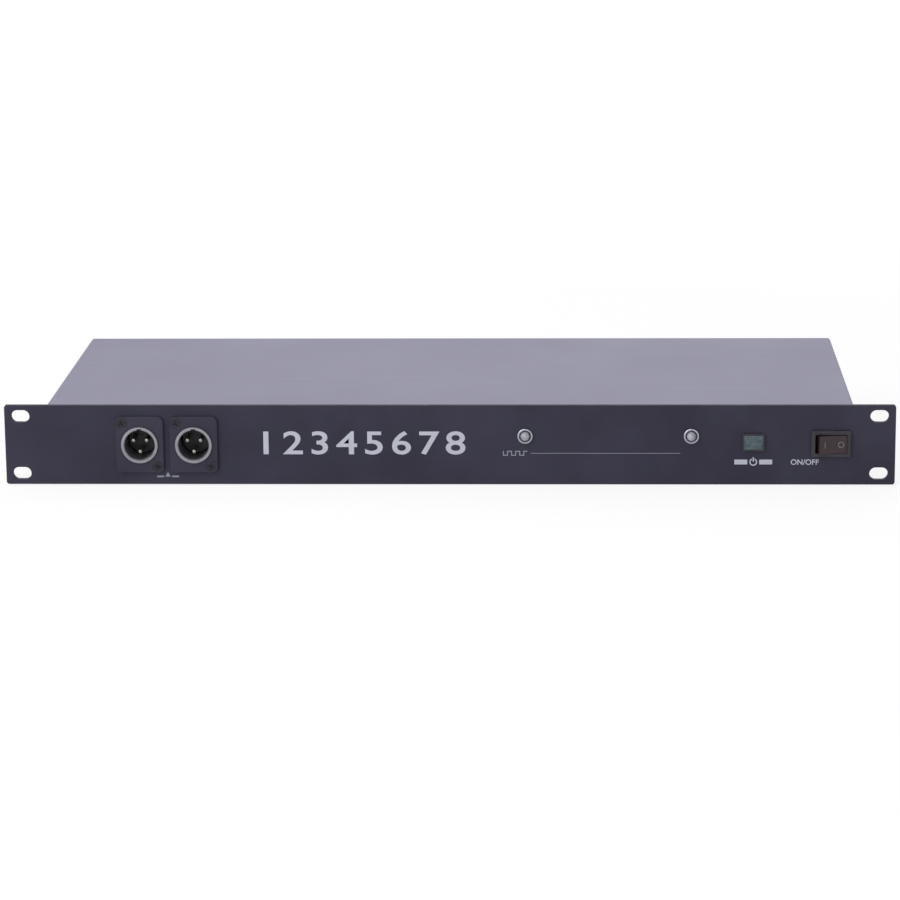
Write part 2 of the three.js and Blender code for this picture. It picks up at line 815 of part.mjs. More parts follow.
// The rocker leans on one end of its travel, turned about its trunnions
function makeRocker() {
  const half = rocker.length / 2;
  const middleY = -switchFrame.bezelThickness - rocker.proud - rocker.pivotDepth;
  const endY = middleY - half * Math.tan(rockerTilt);
  const flankY = rocker.flankDepth - rocker.pivotDepth;
  const heelY = rocker.heelDepth - rocker.pivotDepth;
  const outline = [
    [-half, endY], [0, middleY], [half, endY], [half, flankY],
    [rocker.heelWidth / 2, heelY], [-rocker.heelWidth / 2, heelY], [-half, flankY],
  ].map(([x, y]) => new THREE.Vector2(x, y));
  const shape = new THREE.Shape(outline);
  const geometry = new THREE.ExtrudeGeometry(shape, { depth: rocker.width, bevelEnabled: false });
  const paddle = solidOf(geometry.translate(0, 0, -rocker.width / 2));
  const trunnionSpan = about(0, rocker.width + 2 * rocker.trunnionLength);
  const whole = joined(paddle, post(rocker.trunnionRadius, trunnionSpan, 0, 0, turnedSides));
  const lean = geometryOf(whole).rotateZ(rockerTilt).translate(0, rocker.pivotDepth, 0);
  return solidOf(lean);
}

function buildSwitch(parent) {
  const seat = seatOnFront(parent, switchX, switchZ);
  addPiece(seat, 'switch_frame', makeSwitchFrame(), finishes.blackPlastic);
  addPiece(seat, 'switch_rocker', makeRocker(), finishes.redPlastic);
}

// Lamps

function makeSignalBezel() {
  const rim = signalBarrel + signalLamp.rimWidth;
  const { rimThickness, rimBevel, barrelDepth } = signalLamp;
  const profile = [
    [signalBore, -rimThickness], [rim - rimBevel, -rimThickness], [rim, rimBevel - rimThickness],
    [rim, 0], [signalBarrel, 0], [signalBarrel, barrelDepth], [signalBore, barrelDepth],
  ];
  return turned([...profile, profile[0]], turnedSides);
}

function makeSignalLens() {
  const { lensRadius, domeHeight, barrelDepth, baseWidth, baseDepth } = signalLamp;
  const dome = [];
  for (let i = 0; i <= bendSteps; i += 1) {
    const angle = (Math.PI / 2) * (1 - i / bendSteps);
    const y = -signalLamp.rimThickness - domeHeight * Math.sin(angle);
    dome.push([i === 0 ? 0 : lensRadius * Math.cos(angle), y]);
  }
  const baseRadius = lensRadius + baseWidth + clearance;
  const body = turned([
    ...dome, [lensRadius, barrelDepth], [baseRadius, barrelDepth],
    [baseRadius, barrelDepth + baseDepth], [0, barrelDepth + baseDepth],
  ], turnedSides);
  const leadStart = barrelDepth + baseDepth - signalLamp.leadWidth;
  const leads = [-1, 1].map((i) => block(
    about(i * signalLamp.leadSpread, signalLamp.leadWidth),
    [leadStart, leadStart + signalLamp.leadLength],
    about(0, signalLamp.leadWidth),
  ));
  return joined(body, ...leads);
}

function makePowerLamp() {
  const { width, height, proud, bevel, shoulder, bodyDepth } = powerLamp;
  const lens = block(about(0, width), [bevel - proud, 0], about(0, height));
  const face = block(about(0, width - 2 * bevel), [-proud, 0], about(0, height - 2 * bevel));
  const body = block(
    about(0, width - 2 * shoulder),
    [bevel - proud, bodyDepth],
    about(0, height - 2 * shoulder),
  );
  return joined(lens, face, body);
}

function buildLamps(parent) {
  signalX.forEach((x, i) => {
    const seat = seatOnFront(parent, x, signalZ);
    addPiece(seat, `signal_bezel_${i + 1}`, makeSignalBezel(), finishes.nickel);
    addPiece(seat, `signal_lens_${i + 1}`, makeSignalLens(), finishes.clearLens);
  });
  addPiece(seatOnFront(parent, powerX, powerZ), 'power_lamp', makePowerLamp(), finishes.greenLens);
}

// Blank rating plate in the space between the inlet and the first output
function buildRatingPlate(parent) {
  const start = outputX[0] + connector.flangeWidth / 2 + ratingPlate.edgeGap;
  const end = inletX - inletWidth / 2 - ratingPlate.edgeGap;
  const { height, thickness, cornerRadius, topGap } = ratingPlate;
  const z = chassis.height - topGap - height / 2;
  const outline = roundedOutline(end - start, height, cornerRadius, (start + end) / 2, z);
  const solid = plate(outline, [chassis.depth, chassis.depth + thickness]);
  addPiece(parent, 'rating_plate', solid, finishes.plate);
}

// Electronics

function circuitBoard({ x, y, columns }) {
  const [x0, x1] = [x[0] + board.postInset, x[1] - board.postInset];
  const rows = [y[0] + board.postInset, y[1] - board.postInset];
  const postZ = [chassis.sheet, boardTop - board.thickness / 2];
  const posts = [];
  for (let i = 0; i < columns; i += 1) {
    const postX = x0 + ((x1 - x0) * i) / (columns - 1);
    for (const postY of rows) {
      posts.push(post(board.postRadius, postZ, postX, postY, postSides));
    }
  }
  return joined(block(x, y, [boardTop - board.thickness, boardTop]), ...posts);
}

function component({ width, depth, height }, x, y) {
  return block(about(x, width), about(y, depth), [boardTop - board.thickness / 2, boardTop + height]);
}

function makeOutputBoard() {
  const place = boardPlaces().output;
  const [front, rear] = place.y;
  const chips = outputX.filter((x) => x < place.x[1] - driverChip.width / 2)
    .map((x) => component(driverChip, x, rear - driverChip.setback));
  const isolators = bayShares.isolatorsX.map((share) => (
    component(isolator, share * chassis.width, (front + rear) / 2)
  ));
  const socket = component(header, ribbonX, front + headerInset);
  return joined(circuitBoard(place), ...chips, ...isolators, socket);
}

function makeInputBoard() {
  const place = boardPlaces().input;
  const [front, rear] = place.y;
  const chips = inputX.map((x) => component(driverChip, x, front + driverChip.setback));
  const socket = component(header, ribbonX, rear - headerInset);
  return joined(circuitBoard(place), ...chips, socket);
}

function makePowerBoard() {
  const place = boardPlaces().power;
  const x = (place.x[0] + place.x[1]) / 2;
  const [front, rear] = place.y;
  const can = post(
    capacitor.radius,
    [boardTop - board.thickness / 2, boardTop + capacitor.height],
    place.x[0] + board.postInset + capacitor.radius,
    (front + rear) / 2,
    turnedSides,
  );
  const sink = component(heatSink, x, front + heatSink.depth + board.postInset);
  const coil = component(choke, x, rear - choke.depth / 2 - board.postInset);
  return joined(circuitBoard(place), can, sink, coil);
}

function makeTransformer() {
  const x = bayShares.transformerX * chassis.width;
  const y = boardPlaces().input.y.reduce((a, b) => a + b) / 2;
  const { coreWidth, coreDepth, coilWidth, coilDepth, coilInset, headroom } = transformer;
  const top = ceiling - headroom;
  const core = block(about(x, coreWidth), about(y, coreDepth), [chassis.sheet, top]);
  const coilHeight = [chassis.sheet + coilInset, top - coilInset];
  const coil = block(about(x, coilWidth), about(y, coilDepth), coilHeight);
  return joined(core, coil);
}

// Flat cable that arches from the input board's header to the output board's
function makeRibbon() {
  const { input, output } = boardPlaces();
  const middle = (input.y[1] + output.y[0]) / 2;
  const outer = (board.gap + ribbon.thickness) / 2 + headerInset;
  const inner = outer - ribbon.thickness;
  const start = boardTop + header.height;
  const crown = start + ribbon.rise;
  const over = arc(middle, crown, outer, 0, Math.PI, connectorSides / 2);
  const under = arc(middle, crown, inner, Math.PI, 0, connectorSides / 2);
  const feet = [outer, -outer, -inner, inner].map((offset) => new THREE.Vector2(middle + offset, start));
  const outline = [feet[0], ...over, feet[1], feet[2], ...under, feet[3]];
  return strip(outline, about(ribbonX, ribbon.width));
}

// Mains leads, bound as one, from the inlet's tails to the switch's terminals
function makeLoom() {
  const inletTail = chassis.depth - inlet.bodyDepth - inlet.tailLength - clearance;
  const switchTail = switchFrame.bodyDepth + switchFrame.terminalLength - panel.thickness + clearance;
  const inletLine = inletZ + recessZ;
  const path = new THREE.CatmullRomCurve3([
    new THREE.Vector3(inletX, inletTail, inletLine),
    new THREE.Vector3(inletX, inletTail - loom.lead, inletLine),
    new THREE.Vector3(switchX, switchTail + loom.lead, switchZ),
    new THREE.Vector3(switchX, switchTail, switchZ),
  ]);
  const steps = Math.round(path.getLength() / loom.stepLength);
  const section = new THREE.Shape(circleOutline(loom.radius, 0, 0, smallSides));
  return solidOf(new THREE.ExtrudeGeometry(section, { steps, extrudePath: path }));
}

function buildElectronics(parent) {
  addPiece(parent, 'output_board', makeOutputBoard(), finishes.circuit);
  addPiece(parent, 'input_board', makeInputBoard(), finishes.circuit);
  addPiece(parent, 'power_board', makePowerBoard(), finishes.circuit);
  addPiece(parent, 'transformer', makeTransformer(), finishes.iron);
  addPiece(parent, 'signal_ribbon', makeRibbon(), finishes.wire);
  addPiece(parent, 'mains_loom', makeLoom(), finishes.wire);
}

// The origin is the middle of the underside of the whole splitter's box
function centreOnBase(splitter) {
  const box = new THREE.Box3().setFromObject(splitter);
  splitter.position.y = -(box.min.y + box.max.y) / 2;
}

const splitter = new THREE.Group();
buildCase(splitter);
buildInputs(splitter);
buildOutputs(splitter);
buildInlet(splitter);
buildSwitch(splitter);
buildLamps(splitter);
buildRatingPlate(splitter);
buildElectronics(splitter);
centreOnBase(splitter);

export default splitter;
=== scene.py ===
"""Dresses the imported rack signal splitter: a one-unit steel case behind an eared panel, for stage lighting.

Every piece is modelled in millimetres in the frame of the seat that carries it, and is then placed in metres
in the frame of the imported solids. A seat's mouth looks along -Y, with X to the right and Z up.
"""

import logging
import math
from collections.abc import Callable, Iterator, Mapping, Sequence
from contextlib import contextmanager
from dataclasses import dataclass
from enum import Enum
from typing import ClassVar

import bmesh
import bpy
from mathutils import Matrix, Vector


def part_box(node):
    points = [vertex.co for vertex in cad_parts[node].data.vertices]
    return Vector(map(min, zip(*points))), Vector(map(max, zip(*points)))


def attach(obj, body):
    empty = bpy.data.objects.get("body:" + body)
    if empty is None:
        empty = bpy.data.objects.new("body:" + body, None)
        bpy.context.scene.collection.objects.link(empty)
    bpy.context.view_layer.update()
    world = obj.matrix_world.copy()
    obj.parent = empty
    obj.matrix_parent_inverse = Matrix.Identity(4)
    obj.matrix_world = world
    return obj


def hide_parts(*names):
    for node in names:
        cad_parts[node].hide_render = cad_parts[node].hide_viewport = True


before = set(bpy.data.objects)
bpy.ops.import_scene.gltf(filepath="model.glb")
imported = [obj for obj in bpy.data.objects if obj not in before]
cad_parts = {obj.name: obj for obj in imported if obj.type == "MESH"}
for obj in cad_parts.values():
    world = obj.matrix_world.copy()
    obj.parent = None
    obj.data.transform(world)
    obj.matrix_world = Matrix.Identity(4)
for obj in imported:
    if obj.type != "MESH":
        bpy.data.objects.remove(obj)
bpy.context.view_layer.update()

LOG = logging.getLogger("splitter")
CHASSIS = "chassis"
SOCKET_COUNT = 10

# Facets round a piece: round pieces in general, and from a wire to the largest rings
ROUND_SIDES = 64
WIRE_SIDES = 12
PIN_SIDES = 24
HOLE_SIDES = 28
SHANK_SIDES = 32
SMALL_SIDES = 40
LENS_SIDES = 48
NOSE_SIDES = 72
RING_SIDES = 96
TRIANGLE = 3
SQUARE = 4

# Steps of a rounding: eased edges, small corners, usual corners, a connector's corners and the cover's folds
EASED_STEPS = 2
SMALL_STEPS = 3
CORNER_STEPS = 5
FLANGE_STEPS = 8
FOLD_STEPS = 6

# Lengths: a millimetre in metres, how far a tool reaches past its cut, and how near counts as touching
MM = 0.001
PAST = 1.0
NEAR = 0.001
TEXT_NEAR = 0.0005
PRINT_THICKNESS = 0.03
IN_FRAME = Matrix.Scale(MM, 4)

# Angles: the share of a direction that counts as along it, sharp edges, flat joints and shading
STRAIGHT = 0.999
SHARP = math.radians(30)
FLAT = math.radians(0.5)
SMOOTH = math.radians(32)

# Ranges: where a noise mostly lies, the narrower one of clouds, and the whole of a share
NOISE_RANGE = (0.3, 0.7)
CLOUD_RANGE = (0.35, 0.65)
WHOLE = (0.0, 1.0)
WHITE = (1.0, 1.0, 1.0, 1.0)
FULL_BYTE = 255

# The mix node's sockets for colours, which it numbers after those for its other kinds
MIX_INPUTS = (0, 6, 7)
MIX_OUTPUT = 2

Rgb = tuple[int, int, int]
Shade = tuple[float, float, float, float]
Span = tuple[float, float]
Point = tuple[float, float, float]
Steps = tuple[Span, ...]
Box = tuple[Span, Span, Span]
Rod = tuple[float, Span]


class Side(Enum):
    """The face of the case that a piece is fixed to."""

    FRONT = "front"
    REAR = "rear"


class Axis(Enum):
    """A direction along which a round primitive lies."""

    X = (0.0, math.pi / 2, 0.0)
    Y = (math.pi / 2, 0.0, 0.0)
    Z = (0.0, 0.0, 0.0)


class Grain(Enum):
    """How far a finish's marks are drawn out along X, Y and Z."""

    EVEN = (1.0, 1.0, 1.0)
    ALONG_X = (0.02, 1.0, 1.0)


# Materials


def linear(colour: Rgb) -> Shade:
    """Turns a written sRGB colour into the linear one of a shader, with the numbers of that standard.

    Args:
        colour: Red, green and blue, 0 to 255.

    Returns:
        The linear colour with full opacity.
    """
    shares = [value / FULL_BYTE for value in colour]
    red, green, blue = [s / 12.92 if s <= 0.04045 else ((s + 0.055) / 1.055) ** 2.4 for s in shares]
    return (red, green, blue, 1.0)


def shifted(colour: Rgb, share: float) -> Rgb:
    """Lightens or darkens a colour.

    Args:
        colour: The colour to start from.
        share: Above zero moves it towards white, below zero towards black.

    Returns:
        The new colour.
    """
    goal = FULL_BYTE if share > 0 else 0
    red, green, blue = [round(value + (goal - value) * abs(share)) for value in colour]
    return (red, green, blue)


class Graph:
    """A material's node tree, with short calls for the nodes that the finishes share."""

    def __init__(self, name: str) -> None:
        """Starts a material with one Principled shader.

        Args:
            name: The material's name.
        """
        self.material = bpy.data.materials.new(name)
        self.material.use_nodes = True
        self.tree = self.material.node_tree
        self.tree.nodes.clear()
        self.shader = self.node("ShaderNodeBsdfPrincipled")
        self.output = self.node("ShaderNodeOutputMaterial")
        self.tree.links.new(self.shader.outputs["BSDF"], self.output.inputs["Surface"])
        self.place = self.node("ShaderNodeTexCoord").outputs["Object"]

    def node(
        self, kind: str, settings: Mapping[str, object] | None = None, **inputs: object
    ) -> bpy.types.Node:
        """Adds a node.

        Args:
            kind: Blender's name of the node.
            settings: The node's own settings.
            inputs: Values or sockets for its inputs, with _ for a space.

        Returns:
            The new node.
        """
        made = self.tree.nodes.new(kind)
        for key, value in (settings or {}).items():
            setattr(made, key, value)
        for key, value in inputs.items():
            self.feed(made.inputs[key.replace("_", " ")], value)
        return made

    def feed(self, socket: bpy.types.NodeSocket, value: object) -> None:
        """Links a socket to an input, or sets the input's own value.

        Args:
            socket: The input.
            value: A socket, a number or a colour.
        """
        if isinstance(value, bpy.types.NodeSocket):
            self.tree.links.new(value, socket)
        else:
            socket.default_value = value

    def set(self, **inputs: object) -> None:
        """Sets the shader's inputs."""
        for key, value in inputs.items():
            self.feed(self.shader.inputs[key.replace("_", " ")], value)

    def noise(self, size: float, detail: float = 3.0, grain: Grain = Grain.EVEN) -> bpy.types.NodeSocket:
        """Adds a noise pattern on the object's own place.

        Args:
            size: The width of one blotch, in millimetres.
            detail: The number of finer layers.
            grain: How the blotches are drawn out.

        Returns:
            The pattern, about 0.3 to 0.7.
        """
        scale = [share / (size * MM) for share in grain.value]
        mapped = self.node("ShaderNodeMapping", Vector=self.place, Scale=scale)
        return self.node("ShaderNodeTexNoise", Vector=mapped.outputs[0], Scale=1.0, Detail=detail).outputs[0]

    def spread(self, value: bpy.types.NodeSocket, source: Span, goal: Span) -> bpy.types.NodeSocket:
        """Stretches one range of values onto another.

        Args:
            value: The values.
            source: The range that they come from.
            goal: The range that they go to.

        Returns:
            The values in the new range.
        """
        (first, last), (low, high) = source, goal
        made = self.node(
            "ShaderNodeMapRange", Value=value, From_Min=first, From_Max=last, To_Min=low, To_Max=high
        )
        return made.outputs["Result"]

    def mix(self, share: object, first: object, second: object) -> bpy.types.NodeSocket:
        """Mixes two colours.

        Args:
            share: The share of the second colour.
            first: The first colour.
            second: The second colour.

        Returns:
            The mixed colour.
        """
        made = self.node("ShaderNodeMix", {"data_type": "RGBA"})
        for index, value in zip(MIX_INPUTS, (share, first, second)):
            self.feed(made.inputs[index], value)
        return made.outputs[MIX_OUTPUT]

    def math(self, operation: str, first: object, second: object = 0.0) -> bpy.types.NodeSocket:
        """Adds a sum on two values.

        Args:
            operation: Blender's name of the sum.
            first: The first value.
            second: The second value.

        Returns:
            The outcome.
        """
        made = self.node("ShaderNodeMath", {"operation": operation})
        self.feed(made.inputs[0], first)
        self.feed(made.inputs[1], second)
        return made.outputs[0]

    def bump(self, height: bpy.types.NodeSocket, depth: float, strength: float = 1.0) -> None:
        """Raises the surface by a pattern."""
        made = self.node("ShaderNodeBump", Strength=strength, Distance=depth * MM, Height=height)
        self.set(Normal=made.outputs[0])

    def waves(self, direction: str, pitch: float, wander: float = 0.0) -> bpy.types.NodeSocket:
        """Adds parallel ribs.

        Args:
            direction: X, Y, Z or DIAGONAL, across the ribs.
            pitch: The width that the ribs' scale is set from, in millimetres.
            wander: How far they stray from straight.

        Returns:
            The ribs, 0 to 1.
        """
        made = self.node("ShaderNodeTexWave", {"bands_direction": direction}, Vector=self.place)
        made.inputs["Scale"].default_value = 1 / (pitch * MM * 2 * math.pi)
        made.inputs["Distortion"].default_value = wander
        return made.outputs["Fac"]


@dataclass(frozen=True)
class Finish:
    """A surface that pieces can be given: its name, colour, gloss and how metallic it is."""

    name: str
    colour: Rgb
    roughness: float = 0.5
    metallic: float = 0.0
    shine: float = 0.5
    made: ClassVar[dict[str, bpy.types.Material]] = {}

    def material(self) -> bpy.types.Material:
        """Makes the material once.

        Returns:
            The finish's material.
        """
        if self.name not in self.made:
            graph = Graph(self.name)
            graph.set(Base_Color=linear(self.colour), Roughness=self.roughness, Metallic=self.metallic)
            graph.set(Specular_IOR_Level=self.shine)
            self.paint(graph)
            self.made[self.name] = graph.material
        return self.made[self.name]

    def paint(self, graph: Graph) -> None:
        """Adds the finish's pattern to its material."""
        raise NotImplementedError

    def tone(self, share: float) -> Shade:
        """Gives the finish's colour, lightened or darkened by a share."""
        return linear(shifted(self.colour, share))

    def clouded(self, graph: Graph, pattern: bpy.types.NodeSocket, tones: Span) -> bpy.types.NodeSocket:
        """Mixes a darker and a lighter tone by a soft pattern."""
        dark, light = tones
        return graph.mix(graph.spread(pattern, CLOUD_RANGE, WHOLE), self.tone(dark), self.tone(light))

    def glossed(self, graph: Graph, pattern: bpy.types.NodeSocket, change: Span) -> bpy.types.NodeSocket:
        """Lets the roughness follow a pattern."""
        low, high = change
        return graph.spread(pattern, NOISE_RANGE, (self.roughness + low, self.roughness + high))


@dataclass(frozen=True)
class Coated(Finish):
    """Baked powder paint: a fine dimpled skin with faint cloudy patches, and rubbed edges."""

    dimple: float = 0.55
    relief: float = 0.03
    rubbed: float = 0.0
    cloud: float = 38.0
    cloud_tones: Span = (-0.05, 0.03)
    spot: float = 1.6
    spot_range: Span = (0.5, 0.62)
    spot_tone: float = 0.45
    mark: float = 9.0
    mark_gloss: Span = (-0.07, 0.08)
    dimple_strength: float = 0.6

    def paint(self, graph: Graph) -> None:
        """Adds dimples, clouds and rubbed spots.

        Args:
            graph: The material's nodes.
        """
        base = self.clouded(graph, graph.noise(self.cloud, detail=4), self.cloud_tones)
        if self.rubbed:
            spots = graph.spread(graph.noise(self.spot, detail=5), self.spot_range, (0, self.rubbed))
            base = graph.mix(spots, base, self.tone(self.spot_tone))
        graph.set(Base_Color=base)
        graph.set(Roughness=self.glossed(graph, graph.noise(self.mark, detail=5), self.mark_gloss))
        graph.bump(graph.noise(self.dimple, detail=2), self.relief, self.dimple_strength)


@dataclass(frozen=True)
class Sheet(Finish):
    """Rolled or plated sheet metal: fine lines along the roll, soft patches and a few hairline scratches."""

    grain: Grain = Grain.ALONG_X
    line: float = 0.16
    contrast: float = 0.05
    rubbed: float = 0.0
    patch: float = 90.0
    line_share: float = 0.8
    patch_share: float = 0.2
    tone_range: Span = (0.36, 0.64)
    scratch: float = 2.5
    scratch_range: Span = (0.66, 0.72)
    scratch_gloss: float = 0.12
    smudge: float = 60.0
    smudge_gloss: Span = (-0.03, 0.03)
    line_relief: float = 0.006
    line_strength: float = 0.5

    def paint(self, graph: Graph) -> None:
        """Adds rolling lines, patches and scratches.

        Args:
            graph: The material's nodes.
        """
        lines = graph.noise(self.line, detail=3, grain=self.grain)
        patches = graph.math("MULTIPLY", graph.noise(self.patch, detail=3), self.patch_share)
        tone = graph.math("ADD", graph.math("MULTIPLY", lines, self.line_share), patches)
        dark, light = self.tone(-self.contrast), self.tone(self.contrast + self.rubbed)
        graph.set(Base_Color=graph.mix(graph.spread(tone, self.tone_range, WHOLE), dark, light))
        marks = graph.noise(self.scratch, detail=2, grain=self.grain)
        scratches = graph.spread(marks, self.scratch_range, (0, self.scratch_gloss))
        gloss = self.glossed(graph, graph.noise(self.smudge, detail=3), self.smudge_gloss)
        graph.set(Roughness=graph.math("SUBTRACT", gloss, scratches))
        graph.bump(lines, self.line_relief, self.line_strength)


@dataclass(frozen=True)
class Plated(Finish):
    """Bright plating on a cast or pressed part: smooth, with faint smears and fine pits."""

    smear: float = 4.0
    smear_tones: Span = (-0.05, 0.04)
    smear_gloss: Span = (-0.03, 0.06)
    pit: float = 0.35
    pit_relief: float = 0.004
    pit_strength: float = 0.4

    def paint(self, graph: Graph) -> None:
        """Adds smears and pits.

        Args:
            graph: The material's nodes.
        """
        smears = graph.noise(self.smear, detail=4)
        graph.set(Base_Color=self.clouded(graph, smears, self.smear_tones))
        graph.set(Roughness=self.glossed(graph, smears, self.smear_gloss))
        graph.bump(graph.noise(self.pit, detail=2), self.pit_relief, self.pit_strength)


@dataclass(frozen=True)
class Moulded(Finish):
    """Moulded plastic with a spark-eroded skin and slight flow clouds."""

    skin: float = 0.3
    relief: float = 0.012
    coat: float = 0.0
    cloud: float = 7.0
    cloud_tones: Span = (-0.08, 0.05)
    mark: float = 2.2
    mark_gloss: Span = (-0.06, 0.06)
    skin_strength: float = 0.5

    def paint(self, graph: Graph) -> None:
        """Adds the skin and the flow clouds.

        Args:
            graph: The material's nodes.
        """
        clouds = self.clouded(graph, graph.noise(self.cloud, detail=4), self.cloud_tones)
        graph.set(Base_Color=clouds, Coat_Weight=self.coat)
        graph.set(Roughness=self.glossed(graph, graph.noise(self.mark, detail=3), self.mark_gloss))
        graph.bump(graph.noise(self.skin, detail=2), self.relief, self.skin_strength)


@dataclass(frozen=True)
class Clear(Finish):
    """Clear or tinted plastic that lets part of the light through, with moulded ribs under its face."""

    through: float = 0.5
    rib: float = 0.9
    relief: float = 0.05
    refraction: float = 1.49
    cloud: float = 2.4
    cloud_tones: Span = (-0.12, 0.1)
    mark: float = 1.5
    mark_gloss: Span = (0.0, 0.08)
    rib_strength: float = 0.5

    def paint(self, graph: Graph) -> None:
        """Adds the ribs and faint clouds.

        Args:
            graph: The material's nodes.
        """
        clouds = self.clouded(graph, graph.noise(self.cloud, detail=3), self.cloud_tones)
        graph.set(Base_Color=clouds, Transmission_Weight=self.through, IOR=self.refraction)
        graph.bump(graph.waves("X", self.rib), self.relief, self.rib_strength)
        graph.set(Roughness=self.glossed(graph, graph.noise(self.mark, detail=3), self.mark_gloss))


@dataclass(frozen=True)
class Ink(Finish):
    """Screen-printed ink: nearly even, with fine pinholes."""

    pinhole: float = 0.25
    pinhole_range: Span = (0.62, 0.72)
    pinhole_share: float = 0.35
    pinhole_tone: float = -0.6
    thin: float = 3.0
    thin_share: float = 0.25
    thin_tone: float = -0.14
    skin: float = 0.4
    relief: float = 0.004
    skin_strength: float = 0.3

    def paint(self, graph: Graph) -> None:
        """Adds the pinholes.

        Args:
            graph: The material's nodes.
        """
        holes = graph.spread(graph.noise(self.pinhole, detail=2), self.pinhole_range, (0, self.pinhole_share))
        thin = graph.spread(graph.noise(self.thin, detail=3), NOISE_RANGE, (0, self.thin_share))
        base = graph.mix(thin, linear(self.colour), self.tone(self.thin_tone))
        graph.set(Base_Color=graph.mix(holes, base, self.tone(self.pinhole_tone)))
        graph.bump(graph.noise(self.skin, detail=2), self.relief, self.skin_strength)


@dataclass(frozen=True)
class Laminate(Finish):
    """Circuit board under green lacquer: copper tracks in steps, and tinned pads."""

    pitch: float = 2.54
    copper: Rgb = (58, 128, 84)
    tin: Rgb = (176, 178, 184)
    tin_metal: float = 0.85
    track: float = 0.12
    track_length: float = 7.0
    track_tone: float = -0.12
    pad_pitches: int = 3
    pad_radius: float = 0.13
    relief: float = 0.03
    track_strength: float = 0.5

    def paint(self, graph: Graph) -> None:
        """Adds the tracks and the pads.

        Args:
            graph: The material's nodes.
        """
        rows = graph.node(
            "ShaderNodeTexBrick", Vector=graph.place, Scale=1 / (self.pitch * MM), Mortar_Size=self.track,
            Brick_Width=self.track_length, Row_Height=1.0, Color1=linear(self.colour),
            Color2=self.tone(self.track_tone), Mortar=linear(self.copper),
        )
        scale = 1 / (self.pad_pitches * self.pitch * MM)
        dots = graph.node("ShaderNodeTexVoronoi", Vector=graph.place, Scale=scale, Randomness=0.0)
        pads = graph.math("LESS_THAN", dots.outputs["Distance"], self.pad_radius)
        graph.set(Base_Color=graph.mix(pads, rows.outputs["Color"], linear(self.tin)))
        graph.set(Metallic=graph.math("MULTIPLY", pads, self.tin_metal))
        graph.bump(rows.outputs["Fac"], self.relief, self.track_strength)


@dataclass(frozen=True)
class Strands(Finish):
    """Ribs or threads side by side, as on a flat cable or a braided sleeve, with painted shade in the troughs
    between them.
    """

    pitch: float = 1.27
    grain: str = "X"
    second: Rgb = (70, 70, 78)
    wander: float = 0.15
    gap_range: Span = (0.0, 0.35)
    relief: float = 0.2
    strength: float = 0.7

    def paint(self, graph: Graph) -> None:
        """Adds the ribs, with the darker second colour laid in their troughs as painted shade.

        Args:
            graph: The material's nodes.
        """
        ribs = graph.waves(self.grain, self.pitch, self.wander)
        # The troughs between ribs take the darker second colour: painted shade.
        share = graph.spread(ribs, self.gap_range, (1, 0))
        graph.set(Base_Color=graph.mix(share, linear(self.colour), linear(self.second)))
        graph.bump(ribs, self.relief, self.strength)


@dataclass(frozen=True)
class Layered(Finish):
    """Stacked iron sheets: thin dark and bright edges with varnish runs."""

    sheet: float = 0.5
    edge_tone: float = -0.25
    varnish: Rgb = (72, 56, 48)
    run: float = 8.0
    run_range: Span = (0.4, 0.6)
    run_gloss: Span = (0.1, -0.1)
    relief: float = 0.05
    strength: float = 0.6

    def paint(self, graph: Graph) -> None:
        """Adds the sheet edges and the varnish.

        Args:
            graph: The material's nodes.
        """
        edges = graph.waves("Y", self.sheet)
        runs = graph.spread(graph.noise(self.run, detail=4), self.run_range, WHOLE)
        base = graph.mix(edges, self.tone(self.edge_tone), linear(self.colour))
        graph.set(Base_Color=graph.mix(runs, base, linear(self.varnish)))
        dull, glossy = self.run_gloss
        graph.set(Roughness=graph.spread(runs, WHOLE, (self.roughness + dull, self.roughness + glossy)))
        graph.bump(edges, self.relief, self.strength)


